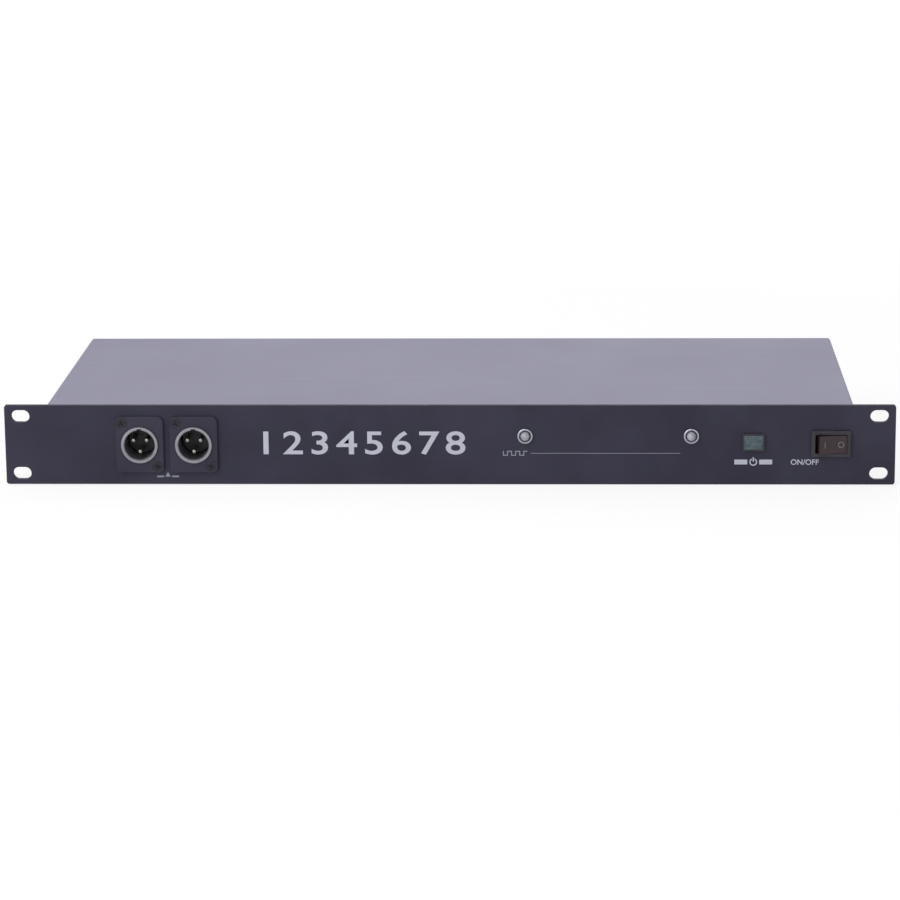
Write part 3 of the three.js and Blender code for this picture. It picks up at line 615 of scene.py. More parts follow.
class Palette:
    """The finishes of the splitter's own pieces."""

    PANEL = Coated("panel_black_coat", (55, 53, 70), 0.5, 0.0, 0.2)
    PANEL_EDGE = Coated("panel_rubbed_edge", (70, 68, 84), 0.42, 0.0, 0.4, rubbed=0.55)
    # The cover's grey is painted top light: the same paint as the rear panel, lightened to how its top looks
    # when lit from above. The bend's grey builds on that lit grey, with a little wear.
    COVER = Sheet("cover_grey_painted_toplight", (148, 146, 168), 0.55, 0.15, 0.25, contrast=0.02)
    COVER_EDGE = Sheet("cover_bend_painted_toplight", (158, 156, 177), 0.5, 0.2, 0.3, contrast=0.03, rubbed=0.06)
    TRAY = Sheet("tray_zinc_sheet", (142, 141, 158), 0.5, 0.4, contrast=0.05)
    REAR = Sheet("rear_zinc_sheet", (105, 107, 125), 0.5, 0.35, contrast=0.04)
    REAR_EDGE = Sheet("rear_cut_edge", (124, 126, 144), 0.45, 0.4, rubbed=0.1)
    SHELL = Plated("socket_shell_nickel", (107, 109, 123), 0.4, 0.7)
    SHELL_EDGE = Plated("socket_shell_rim", (128, 130, 141), 0.34, 0.8)
    BLACK_SHELL = Coated("plug_flange_black", (54, 52, 68), 0.44, 0.0, 0.25, dimple=0.4, relief=0.02)
    BLACK_EDGE = Coated("plug_flange_rim", (66, 65, 80), 0.4, 0.0, rubbed=0.5)
    COLLAR = Plated("plug_collar_nickel", (150, 150, 157), 0.34, 0.8)
    NOSE = Moulded("contact_insert_black", (38, 38, 46), 0.5)
    # Silver pins, dulled to a darker grey as painted shade of the deep plug mouth.
    PIN = Plated("contact_pin_painted_shade", (158, 154, 144), 0.3, 1.0, smear=1.5)
    GOLD = Plated("contact_gold", (196, 160, 92), 0.25, 1.0, smear=1.0)
    LATCH = Plated("latch_nickel", (196, 197, 210), 0.28, 0.6, smear=2.0)
    LATCH_EDGE = Plated("latch_rim", (214, 215, 226), 0.24, 0.7)
    DARK_SCREW = Plated("screw_black_oxide", (44, 45, 52), 0.38, 0.6, smear=1.2)
    SCREW = Plated("screw_zinc", (168, 169, 178), 0.3, 0.9, smear=1.2)
    INLET = Moulded("inlet_black", (28, 28, 38), 0.52, 0.0, 0.3, relief=0.016)
    INLET_EDGE = Moulded("inlet_rim", (42, 42, 54), 0.45, 0.0, 0.35)
    DRAWER = Moulded("fuse_drawer_black", (42, 42, 55), 0.52, 0.0, 0.35, relief=0.014)
    BLADE = Plated("inlet_blade_nickel", (176, 177, 184), 0.25, 1.0, smear=1.5)
    GLASS = Clear("fuse_glass", (214, 220, 222), 0.08, through=0.92, relief=0.0)
    SWITCH = Moulded("switch_frame_black", (37, 35, 45), 0.45)
    SWITCH_EDGE = Moulded("switch_frame_rim", (52, 50, 62), 0.4)
    ROCKER = Moulded("rocker_dark_red", (50, 29, 37), 0.34, 0.0, 0.35, skin=0.5, relief=0.004, coat=0.2)
    CHROME = Plated("bezel_chrome", (164, 165, 175), 0.16, 1.0, smear=1.5)
    # The clear dome gets a near-white colour and lets little light through: painted highlight.
    LENS = Clear("signal_lens_painted_highlight", (190, 192, 203), 0.12, through=0.08, rib=0.6, relief=0.015)
    POWER = Clear("power_lens_green", (80, 102, 109), 0.25, through=0.1, rib=1.0, relief=0.01)
    PLATE = Sheet("rating_plate_silver", (152, 152, 182), 0.36, 0.5, contrast=0.04)
    INK = Ink("print_pale_grey", (208, 210, 224), 0.55)
    ROCKER_INK = Ink("print_rocker_grey", (122, 112, 122), 0.5)
    DIM_INK = Ink("print_mid_grey", (156, 158, 172), 0.55)
    BOARD = Laminate("circuit_green", (30, 88, 58), 0.4)
    IRON = Layered("transformer_iron", (96, 96, 104), 0.5, 0.7)
    # The ribbon's and the loom's second colours darken their troughs as painted shade.
    RIBBON = Strands("ribbon_grey", (150, 150, 158), 0.55, pitch=1.27, grain="X", second=(96, 96, 104))
    LOOM = Strands("loom_black_braid", (30, 30, 34), 0.6, pitch=1.4, grain="DIAGONAL", second=(14, 14, 16))


# Modelling


def about(middle: float, length: float) -> Span:
    """Gives the two ends of a length that lies about a middle."""
    return (middle - length / 2, middle + length / 2)


def beside(box: Box, at: Span) -> Box:
    """Moves a box along X and Z.

    Args:
        box: The box, drawn about zero.
        at: How far it moves along X and Z.

    Returns:
        The box in its place.
    """
    (left, right), depth, (low, high) = box
    x, z = at
    return ((left + x, right + x), depth, (low + z, high + z))


def runs_along_y(edge: bmesh.types.BMEdge) -> bool:
    """Tells whether an edge runs along Y."""
    first, last = edge.verts
    return abs((last.co - first.co).normalized().y) > STRAIGHT


def is_sharp(edge: bmesh.types.BMEdge) -> bool:
    """Tells whether the faces on both sides of an edge meet at a sharp angle."""
    return edge.calc_face_angle(0.0) > SHARP


class Workpiece:
    """One mesh under way, in millimetres, shaped with the operators that a modeller uses by hand."""

    def __init__(self, obj: bpy.types.Object) -> None:
        """Takes over an object."""
        self.obj = obj

    @classmethod
    def taken(cls, name: str) -> "Workpiece":
        """Takes the primitive that was just added, with its place put into its mesh.

        Args:
            name: The piece's name.

        Returns:
            The workpiece.
        """
        obj = bpy.context.object
        obj.name = obj.data.name = name
        bpy.ops.object.transform_apply(location=True, rotation=True, scale=True)
        return cls(obj)

    @classmethod
    def block(cls, name: str, x: Span, y: Span, z: Span) -> "Workpiece":
        """Starts from a block between two values on each axis.

        Args:
            name: The piece's name.
            x: The ends along X.
            y: The ends along Y.
            z: The ends along Z.

        Returns:
            The workpiece.
        """
        bpy.ops.object.select_all(action="DESELECT")
        middle = [(low + high) / 2 for low, high in (x, y, z)]
        size = [high - low for low, high in (x, y, z)]
        bpy.ops.mesh.primitive_cube_add(size=1, location=middle, scale=size)
        return cls.taken(name)

    @classmethod
    def rod(cls, name: str, radius: float, span: Span, at: Span = (0.0, 0.0), axis: Axis = Axis.Y,
            sides: int = ROUND_SIDES) -> "Workpiece":
        """Starts from a round rod.

        Args:
            name: The piece's name.
            radius: The rod's radius.
            span: Its ends along its axis.
            at: Its place on the other two axes, in their order.
            axis: The axis it lies along.
            sides: The facets round it.

        Returns:
            The workpiece.
        """
        bpy.ops.object.select_all(action="DESELECT")
        middle = (span[0] + span[1]) / 2
        places = {Axis.X: (middle, *at), Axis.Y: (at[0], middle, at[1]), Axis.Z: (*at, middle)}
        bpy.ops.mesh.primitive_cylinder_add(
            vertices=sides, radius=radius, depth=span[1] - span[0], location=places[axis], rotation=axis.value
        )
        return cls.taken(name)

    @classmethod
    def turned(
        cls, name: str, profile: Sequence[Span], at: Span = (0.0, 0.0), sides: int = ROUND_SIDES
    ) -> "Workpiece":
        """Starts from a cone along Y and draws its front end on through a profile, as on a lathe.

        Args:
            name: The piece's name.
            profile: Radius and Y of each step, from the back to the front.
            at: The axis's place along X and Z.
            sides: The facets round it.

        Returns:
            The workpiece.
        """
        bpy.ops.object.select_all(action="DESELECT")
        (back, start), (front, end) = profile[:2]
        bpy.ops.mesh.primitive_cone_add(
            vertices=sides, radius1=back, radius2=front, depth=start - end,
            location=(at[0], (start + end) / 2, at[1]), rotation=(math.pi / 2, 0, 0),
        )
        piece = cls.taken(name)
        with piece.editing():
            piece.pick_faces(lambda face: face.normal.y < -STRAIGHT and len(face.verts) == sides)
            radius = front
            for goal, y in profile[2:]:
                bpy.ops.mesh.extrude_region_move(TRANSFORM_OT_translate={"value": (0, y - end, 0)})
                share = goal / radius
                bpy.ops.transform.resize(value=(share, 1, share), center_override=(at[0], y, at[1]))
                radius, end = goal, y
        return piece

    @classmethod
    def node(cls, name: str, node: str) -> "Workpiece":
        """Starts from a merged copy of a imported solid, with its flat triangles made whole faces.

        Args:
            name: The piece's name.
            node: The solid's name.

        Returns:
            The workpiece.
        """
        obj = bpy.data.objects.new(name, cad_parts[node].data.copy())
        bpy.context.scene.collection.objects.link(obj)
        obj.data.transform(Matrix.Scale(1 / MM, 4))
        obj.data.materials.clear()
        piece = cls(obj)
        with piece.editing():
            bpy.ops.mesh.select_all(action="SELECT")
            bpy.ops.mesh.remove_doubles(threshold=NEAR)
            bpy.ops.mesh.dissolve_limited(angle_limit=FLAT)
        return piece

    @classmethod
    def text(cls, name: str, words: str, height: float, at: Span, y: float, bold: float = 0.0) -> "Workpiece":
        """Starts from printed figures that stand on X and Z and face -Y.

        Args:
            name: The piece's name.
            words: The figures.
            height: The height of the font.
            at: The middle of the line along X and Z.
            y: The face that they are printed on.
            bold: How much the strokes are thickened.

        Returns:
            The workpiece.
        """
        bpy.ops.object.select_all(action="DESELECT")
        bpy.ops.object.text_add()
        obj = bpy.context.object
        obj.data.body = words
        obj.data.size = height
        obj.data.extrude = PRINT_THICKNESS
        obj.data.offset = bold
        obj.data.resolution_u = 4
        obj.data.align_x, obj.data.align_y = "CENTER", "CENTER"
        bpy.ops.object.convert(target="MESH")
        piece = cls.taken(name)
        piece.obj.data.transform(Matrix.Translation((at[0], y, at[1])) @ Matrix.Rotation(math.pi / 2, 4, "X"))
        with piece.editing():
            bpy.ops.mesh.select_all(action="SELECT")
            bpy.ops.mesh.remove_doubles(threshold=TEXT_NEAR)
            bpy.ops.mesh.normals_make_consistent(inside=False)
        return piece

    @contextmanager
    def editing(self) -> Iterator[None]:
        """Opens the piece in edit mode with nothing selected.

        Returns:
            A context in which the piece is open.
        """
        bpy.ops.object.select_all(action="DESELECT")
        bpy.context.view_layer.objects.active = self.obj
        self.obj.select_set(True)
        bpy.ops.object.mode_set(mode="EDIT")
        bpy.ops.mesh.select_all(action="DESELECT")
        yield
        bpy.ops.object.mode_set(mode="OBJECT")

    def pick_faces(self, test: Callable[[bmesh.types.BMFace], bool]) -> None:
        """Selects faces in edit mode.

        Args:
            test: Says which faces.
        """
        bpy.ops.mesh.select_mode(type="FACE")
        mesh = bmesh.from_edit_mesh(self.obj.data)
        for face in mesh.faces:
            face.select_set(bool(test(face)))
        bmesh.update_edit_mesh(self.obj.data)

    def pick_edges(self, test: Callable[[bmesh.types.BMEdge], bool]) -> None:
        """Selects edges in edit mode.

        Args:
            test: Says which edges.
        """
        bpy.ops.mesh.select_mode(type="EDGE")
        mesh = bmesh.from_edit_mesh(self.obj.data)
        for edge in mesh.edges:
            edge.select_set(bool(test(edge)))
        bmesh.update_edit_mesh(self.obj.data)

    def shift_half(self, side: int, shift: float) -> "Workpiece":
        """Moves the half of the mesh on one side of the middle outwards along X.

        Args:
            side: 1 for the right half, -1 for the left.
            shift: How far it moves.

        Returns:
            The same workpiece.
        """
        with self.editing():
            bpy.ops.mesh.select_mode(type="VERT")
            mesh = bmesh.from_edit_mesh(self.obj.data)
            for vertex in mesh.verts:
                vertex.select_set(vertex.co.x * side > 0)
            bmesh.update_edit_mesh(self.obj.data)
            bpy.ops.transform.translate(value=(side * shift, 0, 0))
        return self

    def bevel(self, test: Callable[[bmesh.types.BMEdge], bool], width: float, segments: int = SMALL_STEPS,
              worn: bool = False) -> "Workpiece":
        """Rounds chosen edges.

        Args:
            test: Says which edges.
            width: The width of the rounding.
            segments: Its steps.
            worn: Gives the rounding the second finish.

        Returns:
            The same workpiece.
        """
        slot = 1 if worn else -1
        with self.editing():
            self.pick_edges(test)
            bpy.ops.mesh.bevel(
                offset=width, segments=segments, affect="EDGES", clamp_overlap=True, material=slot
            )
        return self

    def bevel_corners(self, width: float, segments: int = 4) -> "Workpiece":
        """Rounds the edges that run along Y."""
        return self.bevel(runs_along_y, width, segments)

    def bevel_rim(
        self, y: float, width: float, segments: int = SMALL_STEPS, worn: bool = True
    ) -> "Workpiece":
        """Rounds the sharp edges that lie in a plane across Y.

        Args:
            y: The plane.
            width: The width of the rounding.
            segments: Its steps.
            worn: Gives the rounding the second finish.

        Returns:
            The same workpiece.
        """
        def on_rim(edge: bmesh.types.BMEdge) -> bool:
            """Tells whether an edge is a sharp one in the plane."""
            return all(abs(corner.co.y - y) < NEAR for corner in edge.verts) and is_sharp(edge)

        return self.bevel(on_rim, width, segments, worn)

    def sink_face(self, border: float, depth: float) -> "Workpiece":
        """Sinks the inner part of the face that looks to the front.

        Args:
            border: The width of the border left round it.
            depth: How far it is sunk.

        Returns:
            The same workpiece.
        """
        with self.editing():
            self.pick_faces(lambda face: face.normal.y < -STRAIGHT)
            bpy.ops.mesh.inset(thickness=border, depth=0)
            bpy.ops.mesh.extrude_region_move(TRANSFORM_OT_translate={"value": (0, depth, 0)})
        return self

    def combine(self, tools: Sequence["Workpiece"], operation: str) -> "Workpiece":
        """Cuts or joins other workpieces, which are used up.

        Args:
            tools: The other workpieces.
            operation: DIFFERENCE or UNION.

        Returns:
            The same workpiece.
        """
        bpy.ops.object.select_all(action="DESELECT")
        bpy.context.view_layer.objects.active = self.obj
        self.obj.select_set(True)
        for tool in tools:
            modifier = self.obj.modifiers.new("shape", "BOOLEAN")
            modifier.operation = operation
            modifier.solver = "EXACT"
            modifier.object = tool.obj
            bpy.ops.object.modifier_apply(modifier=modifier.name)
            bpy.data.objects.remove(tool.obj)
        return self

    def cut(self, *tools: "Workpiece") -> "Workpiece":
        """Cuts other workpieces out of this one."""
        return self.combine(tools, "DIFFERENCE")

    def fuse(self, *tools: "Workpiece") -> "Workpiece":
        """Joins other workpieces to this one as one solid."""
        return self.combine(tools, "UNION")

    def gather(self, *others: "Workpiece") -> "Workpiece":
        """Takes other workpieces into this mesh as separate shells.

        Args:
            others: The other workpieces.

        Returns:
            The same workpiece.
        """
        bpy.ops.object.select_all(action="DESELECT")
        for other in others:
            other.obj.select_set(True)
        self.obj.select_set(True)
        bpy.context.view_layer.objects.active = self.obj
        bpy.ops.object.join()
        return self

    def round_over(self, width: float, segments: int = EASED_STEPS, angle: float = 35.0) -> "Workpiece":
        """Rounds every edge sharper than an angle, with the second finish.

        Args:
            width: The width of the rounding.
            segments: Its steps.
            angle: The least angle, in degrees.

        Returns:
            The same workpiece.
        """
        bpy.ops.object.select_all(action="DESELECT")
        bpy.context.view_layer.objects.active = self.obj
        self.obj.select_set(True)
        modifier = self.obj.modifiers.new("rounding", "BEVEL")
        modifier.width = width
        modifier.segments = segments
        modifier.limit_method = "ANGLE"
        modifier.angle_limit = math.radians(angle)
        modifier.material = 1
        bpy.ops.object.modifier_apply(modifier=modifier.name)
        return self

    def turn(self, matrix: Matrix) -> "Workpiece":
        """Moves or turns the mesh."""
        self.obj.data.transform(matrix)
        return self

    def twin(self, name: str) -> "Workpiece":
        """Copies the piece with a mesh of its own.

        Args:
            name: The copy's name.

        Returns:
            The copy.
        """
        obj = bpy.data.objects.new(name, self.obj.data.copy())
        bpy.context.scene.collection.objects.link(obj)
        return Workpiece(obj)

    def done(self, place: Matrix, finishes: Sequence[Finish], body: str = CHASSIS,
             replaces: Sequence[str] = (), slot: str = "") -> bpy.types.Object:
        """Places the piece, dresses it and lets it ride on its body.

        Args:
            place: From the piece's millimetres to the frame's metres.
            finishes: The finishes of its material slots.
            body: The body that it rides on.
            replaces: The solids that it stands for.
            slot: The record's material slot; not used.

        Returns:
            The finished object.
        """
        self.obj.data.transform(place)
        self.obj.data.materials.clear()
        for finish in finishes:
            self.obj.data.materials.append(finish.material())
        bpy.ops.object.select_all(action="DESELECT")
        bpy.context.view_layer.objects.active = self.obj
        self.obj.select_set(True)
        bpy.ops.object.shade_smooth_by_angle(angle=SMOOTH)
        flat = self.obj.modifiers.new("flat_faces", "WEIGHTED_NORMAL")
        flat.keep_sharp = True
        bpy.ops.object.modifier_apply(modifier=flat.name)
        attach(self.obj, body)
        if replaces:
            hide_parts(*replaces)
        LOG.info("%s rides on %s, %d faces", self.obj.name, body, len(self.obj.data.polygons))
        return self.obj

    def drop(self) -> None:
        """Removes a pattern piece that was only copied."""
        bpy.data.objects.remove(self.obj)


def seat(node: str, side: Side) -> Matrix:
    """Finds the seat of a piece on the front or the rear face.

    Args:
        node: The solid whose middle lies on the seat's axis.
        side: The face of the case.

    Returns:
        From the seat's millimetres to the frame's metres.
    """
    low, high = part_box(node)
    front = side is Side.FRONT
    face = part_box("front_panel")[0].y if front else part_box("rear_panel")[1].y
    turn = 0.0 if front else math.pi
    middle = Vector(((low.x + high.x) / 2, face, (low.z + high.z) / 2))
    return Matrix.Translation(middle) @ Matrix.Rotation(turn, 4, "Z") @ Matrix.Scale(MM, 4)


def millimetres(node: str) -> tuple[Vector, Vector]:
    """Gives a solid's box in millimetres.

    Args:
        node: The solid's name.

    Returns:
        The lowest and the highest corner.
    """
    low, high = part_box(node)
    return low / MM, high / MM


def middle_of(node: str) -> Span:
    """Gives the middle of a solid along X and Z, in millimetres.

    Args:
        node: The solid's name.

    Returns:
        The X and the Z.
    """
    low, high = millimetres(node)
    return ((low.x + high.x) / 2, (low.z + high.z) / 2)


def turned_about(angle: float, axis: str, middle: Point) -> Matrix:
    """Gives a turn about an axis through a point.

    Args:
        angle: The turn.
        axis: X, Y or Z.
        middle: The point.

    Returns:
        The change.
    """
    back = Matrix.Translation([-value for value in middle])
    return Matrix.Translation(middle) @ Matrix.Rotation(angle, 4, axis) @ back


@dataclass(frozen=True)
class CrossScrew:
    """A countersunk or pan-headed screw with a cross recess, drawn with its head's top at zero along Y."""

    radius: float = 2.75
    height: float = 1.3
    neck_share: float = 0.62
    crown: float = 0.12
    edge: Span = (0.9, 0.08)
    top_share: float = 0.8
    slot_width: float = 0.75
    slot_length: float = 3.4
    slot_depth: float = 0.8
    point: Span = (0.3, 0.75)
    point_depth: float = 0.3
    sides: int = SMALL_SIDES

    def build(self, name: str) -> Workpiece:
        """Models the screw.

        Args:
            name: The piece's name.

        Returns:
            The screw's head.
        """
        edge_share, edge_drop = self.edge
        head = Workpiece.turned(name, [
            (self.radius * self.neck_share, self.height), (self.radius, self.crown),
            (self.radius * edge_share, edge_drop), (self.radius * self.top_share, 0.0),
        ], sides=self.sides)
        width, length = about(0, self.slot_width), about(0, self.slot_length)
        span = (-PAST, self.slot_depth)
        across = Workpiece.block("cross_tool", length, span, width)
        along = Workpiece.block("cross_tool", width, span, length)
        bottom, top = self.point
        ends = [(bottom, self.slot_depth + self.point_depth), (top, -PAST / 2)]
        centre = Workpiece.turned("cross_tool", ends, sides=SQUARE)
        return head.cut(across.fuse(along), centre)


# Case


@dataclass
class FrontPanel:
    """The dark panel with its two ears, four oblong slots and printed marks."""

    corner: float = 1.5
    rim: float = 0.35
    slot_length: float = 10.0
    slot_height: float = 6.8
    slot_inset_x: float = 8.75
    slot_inset_z: float = 6.125
    slot_lip: Steps = ((0.0, 0.3), (0.4, -0.1))
    slot_sides: int = 46
    connector_hole: float = 12.1
    lamp_hole: float = 3.7
    lap: float = 0.7
    figure_count: int = 8
    figure_height: float = 18.0
    figure_bold: float = 0.2
    figure_stretch: float = 1.3
    figure_span: Span = (-99.0, 4.0)
    figure_z: float = 22.4
    input_mark: Span = (-152.8, 5.4)
    signal_mark: Span = (36.5, 17.4)
    power_mark: Span = (164.9, 12.6)
    switch_mark: Span = (192.6, 12.4)

    def build(self) -> None:
        """Models the panel and dresses it."""
        low, high = millimetres("front_panel")
        panel = Workpiece.block("front_panel_coated", (low.x, high.x), (low.y, high.y), (low.z, high.z))
        panel.bevel_corners(self.corner, segments=CORNER_STEPS)
        panel.bevel_rim(low.y, self.rim).bevel_rim(high.y, self.rim, segments=EASED_STEPS)
        panel.cut(*self.slots(low, high), *self.openings(low, high))
        finishes = (Palette.PANEL, Palette.PANEL_EDGE)
        panel.done(IN_FRAME, finishes, replaces=("front_panel",), slot="panel_black")
        self.print_marks(low.y)

    def slots(self, low: Vector, high: Vector) -> list[Workpiece]:
        """Models the tools of the four slots, each with a small countersink at the face.

        Args:
            low: The panel's lowest corner.
            high: The panel's highest corner.

        Returns:
            The tools.
        """
        radius = self.slot_height / 2
        lip = [(radius + growth, low.y + level) for growth, level in self.slot_lip]
        tools = []
        for x in (low.x + self.slot_inset_x, high.x - self.slot_inset_x):
            for z in (low.z + self.slot_inset_z, high.z - self.slot_inset_z):
                tool = Workpiece.turned("slot_tool", [(radius, high.y + PAST), *lip], sides=self.slot_sides)
                for side in (1, -1):
                    tool.shift_half(side, self.slot_length / 2 - radius)
                tools.append(tool.turn(Matrix.Translation((x, 0, z))))
        return tools

    def openings(self, low: Vector, high: Vector) -> list[Workpiece]:
        """Models the tools of the openings that the connectors, the lamps and the switch fill.

        Args:
            low: The panel's lowest corner.
            high: The panel's highest corner.

        Returns:
            The tools.
        """
        through = (low.y - PAST, high.y + PAST)
        holes = [(f"input_shell_{index}", self.connector_hole) for index in (1, 2)]
        holes += [(f"signal_bezel_{index}", self.lamp_hole) for index in (1, 2)]
        tools = [Workpiece.rod("opening_tool", radius, through, middle_of(node)) for node, radius in holes]
        for node in ("power_lamp", "switch_frame"):
            first, last = millimetres(node)
            x = (first.x + self.lap, last.x - self.lap)
            z = (first.z + self.lap, last.z - self.lap)
            tools.append(Workpiece.block("opening_tool", x, through, z))
        return tools

    def print_marks(self, face: float) -> None:
        """Prints the row of figures and the small signs.

        Args:
            face: The panel's front face.
        """
        first, last = self.figure_span
        stretch = Matrix.Diagonal((self.figure_stretch, 1, 1, 1))
        for index in range(self.figure_count):
            x = first + (last - first) * index / (self.figure_count - 1)
            name, words, at = f"front_figure_{index + 1}", str(index + 1), (0, self.figure_z)
            figure = Workpiece.text(name, words, self.figure_height, at, face, self.figure_bold)
            figure.turn(Matrix.Translation((x, 0, 0)) @ stretch).done(IN_FRAME, (Palette.INK,))
        marks = PanelMarks(face)
        marks.build_input_mark(*self.input_mark)
        marks.build_signal_mark(*self.signal_mark)
        marks.build_power_mark(*self.power_mark)
        marks.build_switch_mark(*self.switch_mark)


@dataclass
class PanelMarks:
    """The small plain signs printed under the inputs, the lamps and the switch."""

    face: float
    easing_share: float = 0.1
    arrow: float = 1.7
    arrow_drop: float = 0.3
    arrow_bars: Span = (2.2, 6.0)
    arrow_bar_drop: float = 1.0
    arrow_bar_height: float = 0.9
    wave_stroke: float = 0.5
    wave_steps: int = 6
    wave_step: float = 2.2
    wave_rise: float = 1.1
    rule_gap: float = 1.6
    rule_end: float = 125.5
    rule_stroke: float = 0.28
    power_ring: float = 2.1
    power_stroke: float = 0.65
    power_gap: float = 1.5
    power_gap_span: Span = (0.4, 3.0)
    power_tick: Span = (0.2, 2.7)
    power_bars: Span = (3.2, 10.2)
    power_bar_height: float = 2.7
    switch_words: str = "ON/OFF"
    switch_height: float = 4.2
    switch_bold: float = 0.06

    def bar(self, name: str, x: Span, z: Span) -> Workpiece:
        """Models a printed bar with eased ends."""
        bar = Workpiece.block(name, x, about(self.face, 2 * PRINT_THICKNESS), z)
        return bar.bevel_corners(self.easing_share * min(x[1] - x[0], z[1] - z[0]), segments=EASED_STEPS)

    def side_bars(self, x: float, reach: Span, z: Span) -> list[Workpiece]:
        """Models a printed bar on each side of a sign."""
        near, far = reach
        return [self.bar("bar", (x - far, x - near), z), self.bar("bar", (x + near, x + far), z)]

    def build_input_mark(self, x: float, z: float) -> None:
        """Prints a triangle that points up at the two inputs, between two bars.

        Args:
            x: The mark's middle along X.
            z: Its middle along Z.
        """
        span = about(self.face, 2 * PRINT_THICKNESS)
        head = Workpiece.rod("front_mark_input", self.arrow, span, (x, z - self.arrow_drop), sides=TRIANGLE)
        head.turn(turned_about(self.upright(head, x, z), "Y", (x, 0, z)))
        bars = self.side_bars(x, self.arrow_bars, about(z - self.arrow_bar_drop, self.arrow_bar_height))
        head.gather(*bars).done(IN_FRAME, (Palette.DIM_INK,))

    def upright(self, head: Workpiece, x: float, z: float) -> float:
        """Finds the turn that makes a triangle point up."""
        corner = max(head.obj.data.vertices, key=lambda vertex: vertex.co.z).co
        return -math.atan2(corner.x - x, corner.z - z)

    def build_signal_mark(self, x: float, z: float) -> None:
        """Prints a square wave, and the thin rule from it to the second lamp.

        Args:
            x: The wave's middle along X.
            z: Its middle along Z.
        """
        half, step, rise = self.wave_stroke / 2, self.wave_step, self.wave_rise
        middle = self.wave_steps // 2
        wave = []
        for index in range(self.wave_steps):
            start = x + (index - middle) * step
            level = z + (rise if index % 2 else -rise)
            flat = (start + half, start + step - half)
            wave.append(self.bar("front_mark_signal", flat, (level - half, level + half)))
            wave.append(self.bar("edge", (start - half, start + half), (z - rise - half, z + rise + half)))
        rule = (x + middle * step + self.rule_gap, self.rule_end)
        first, *others = [*wave, self.bar("rule", rule, about(z, self.rule_stroke))]
        first.gather(*others).done(IN_FRAME, (Palette.DIM_INK,))

    def build_power_mark(self, x: float, z: float) -> None:
        """Prints an open ring with a bar in its gap, between two bars.

        Args:
            x: The mark's middle along X.
            z: Its middle along Z.
        """
        span = about(self.face, 2 * PRINT_THICKNESS)
        past = (span[0] - PAST, span[1] + PAST)
        ring = Workpiece.rod("front_mark_power", self.power_ring, span, (x, z), sides=LENS_SIDES)
        inner = self.power_ring - self.power_stroke
        hole = Workpiece.rod("ring_tool", inner, past, (x, z), sides=LENS_SIDES)
        low, high = self.power_gap_span
        ring.cut(hole, Workpiece.block("gap_tool", about(x, self.power_gap), past, (z + low, z + high)))
        low, high = self.power_tick
        tick = self.bar("tick", about(x, self.power_stroke), (z + low, z + high))
        ring.gather(tick, *self.side_bars(x, self.power_bars, about(z, self.power_bar_height)))
        ring.done(IN_FRAME, (Palette.INK,))

    def build_switch_mark(self, x: float, z: float) -> None:
        """Prints the switch's two states.

        Args:
            x: The line's middle along X.
            z: Its middle along Z.
        """
        words, height = self.switch_words, self.switch_height
        mark = Workpiece.text("front_mark_switch", words, height, (x, z), self.face, self.switch_bold)
        mark.done(IN_FRAME, (Palette.INK,))


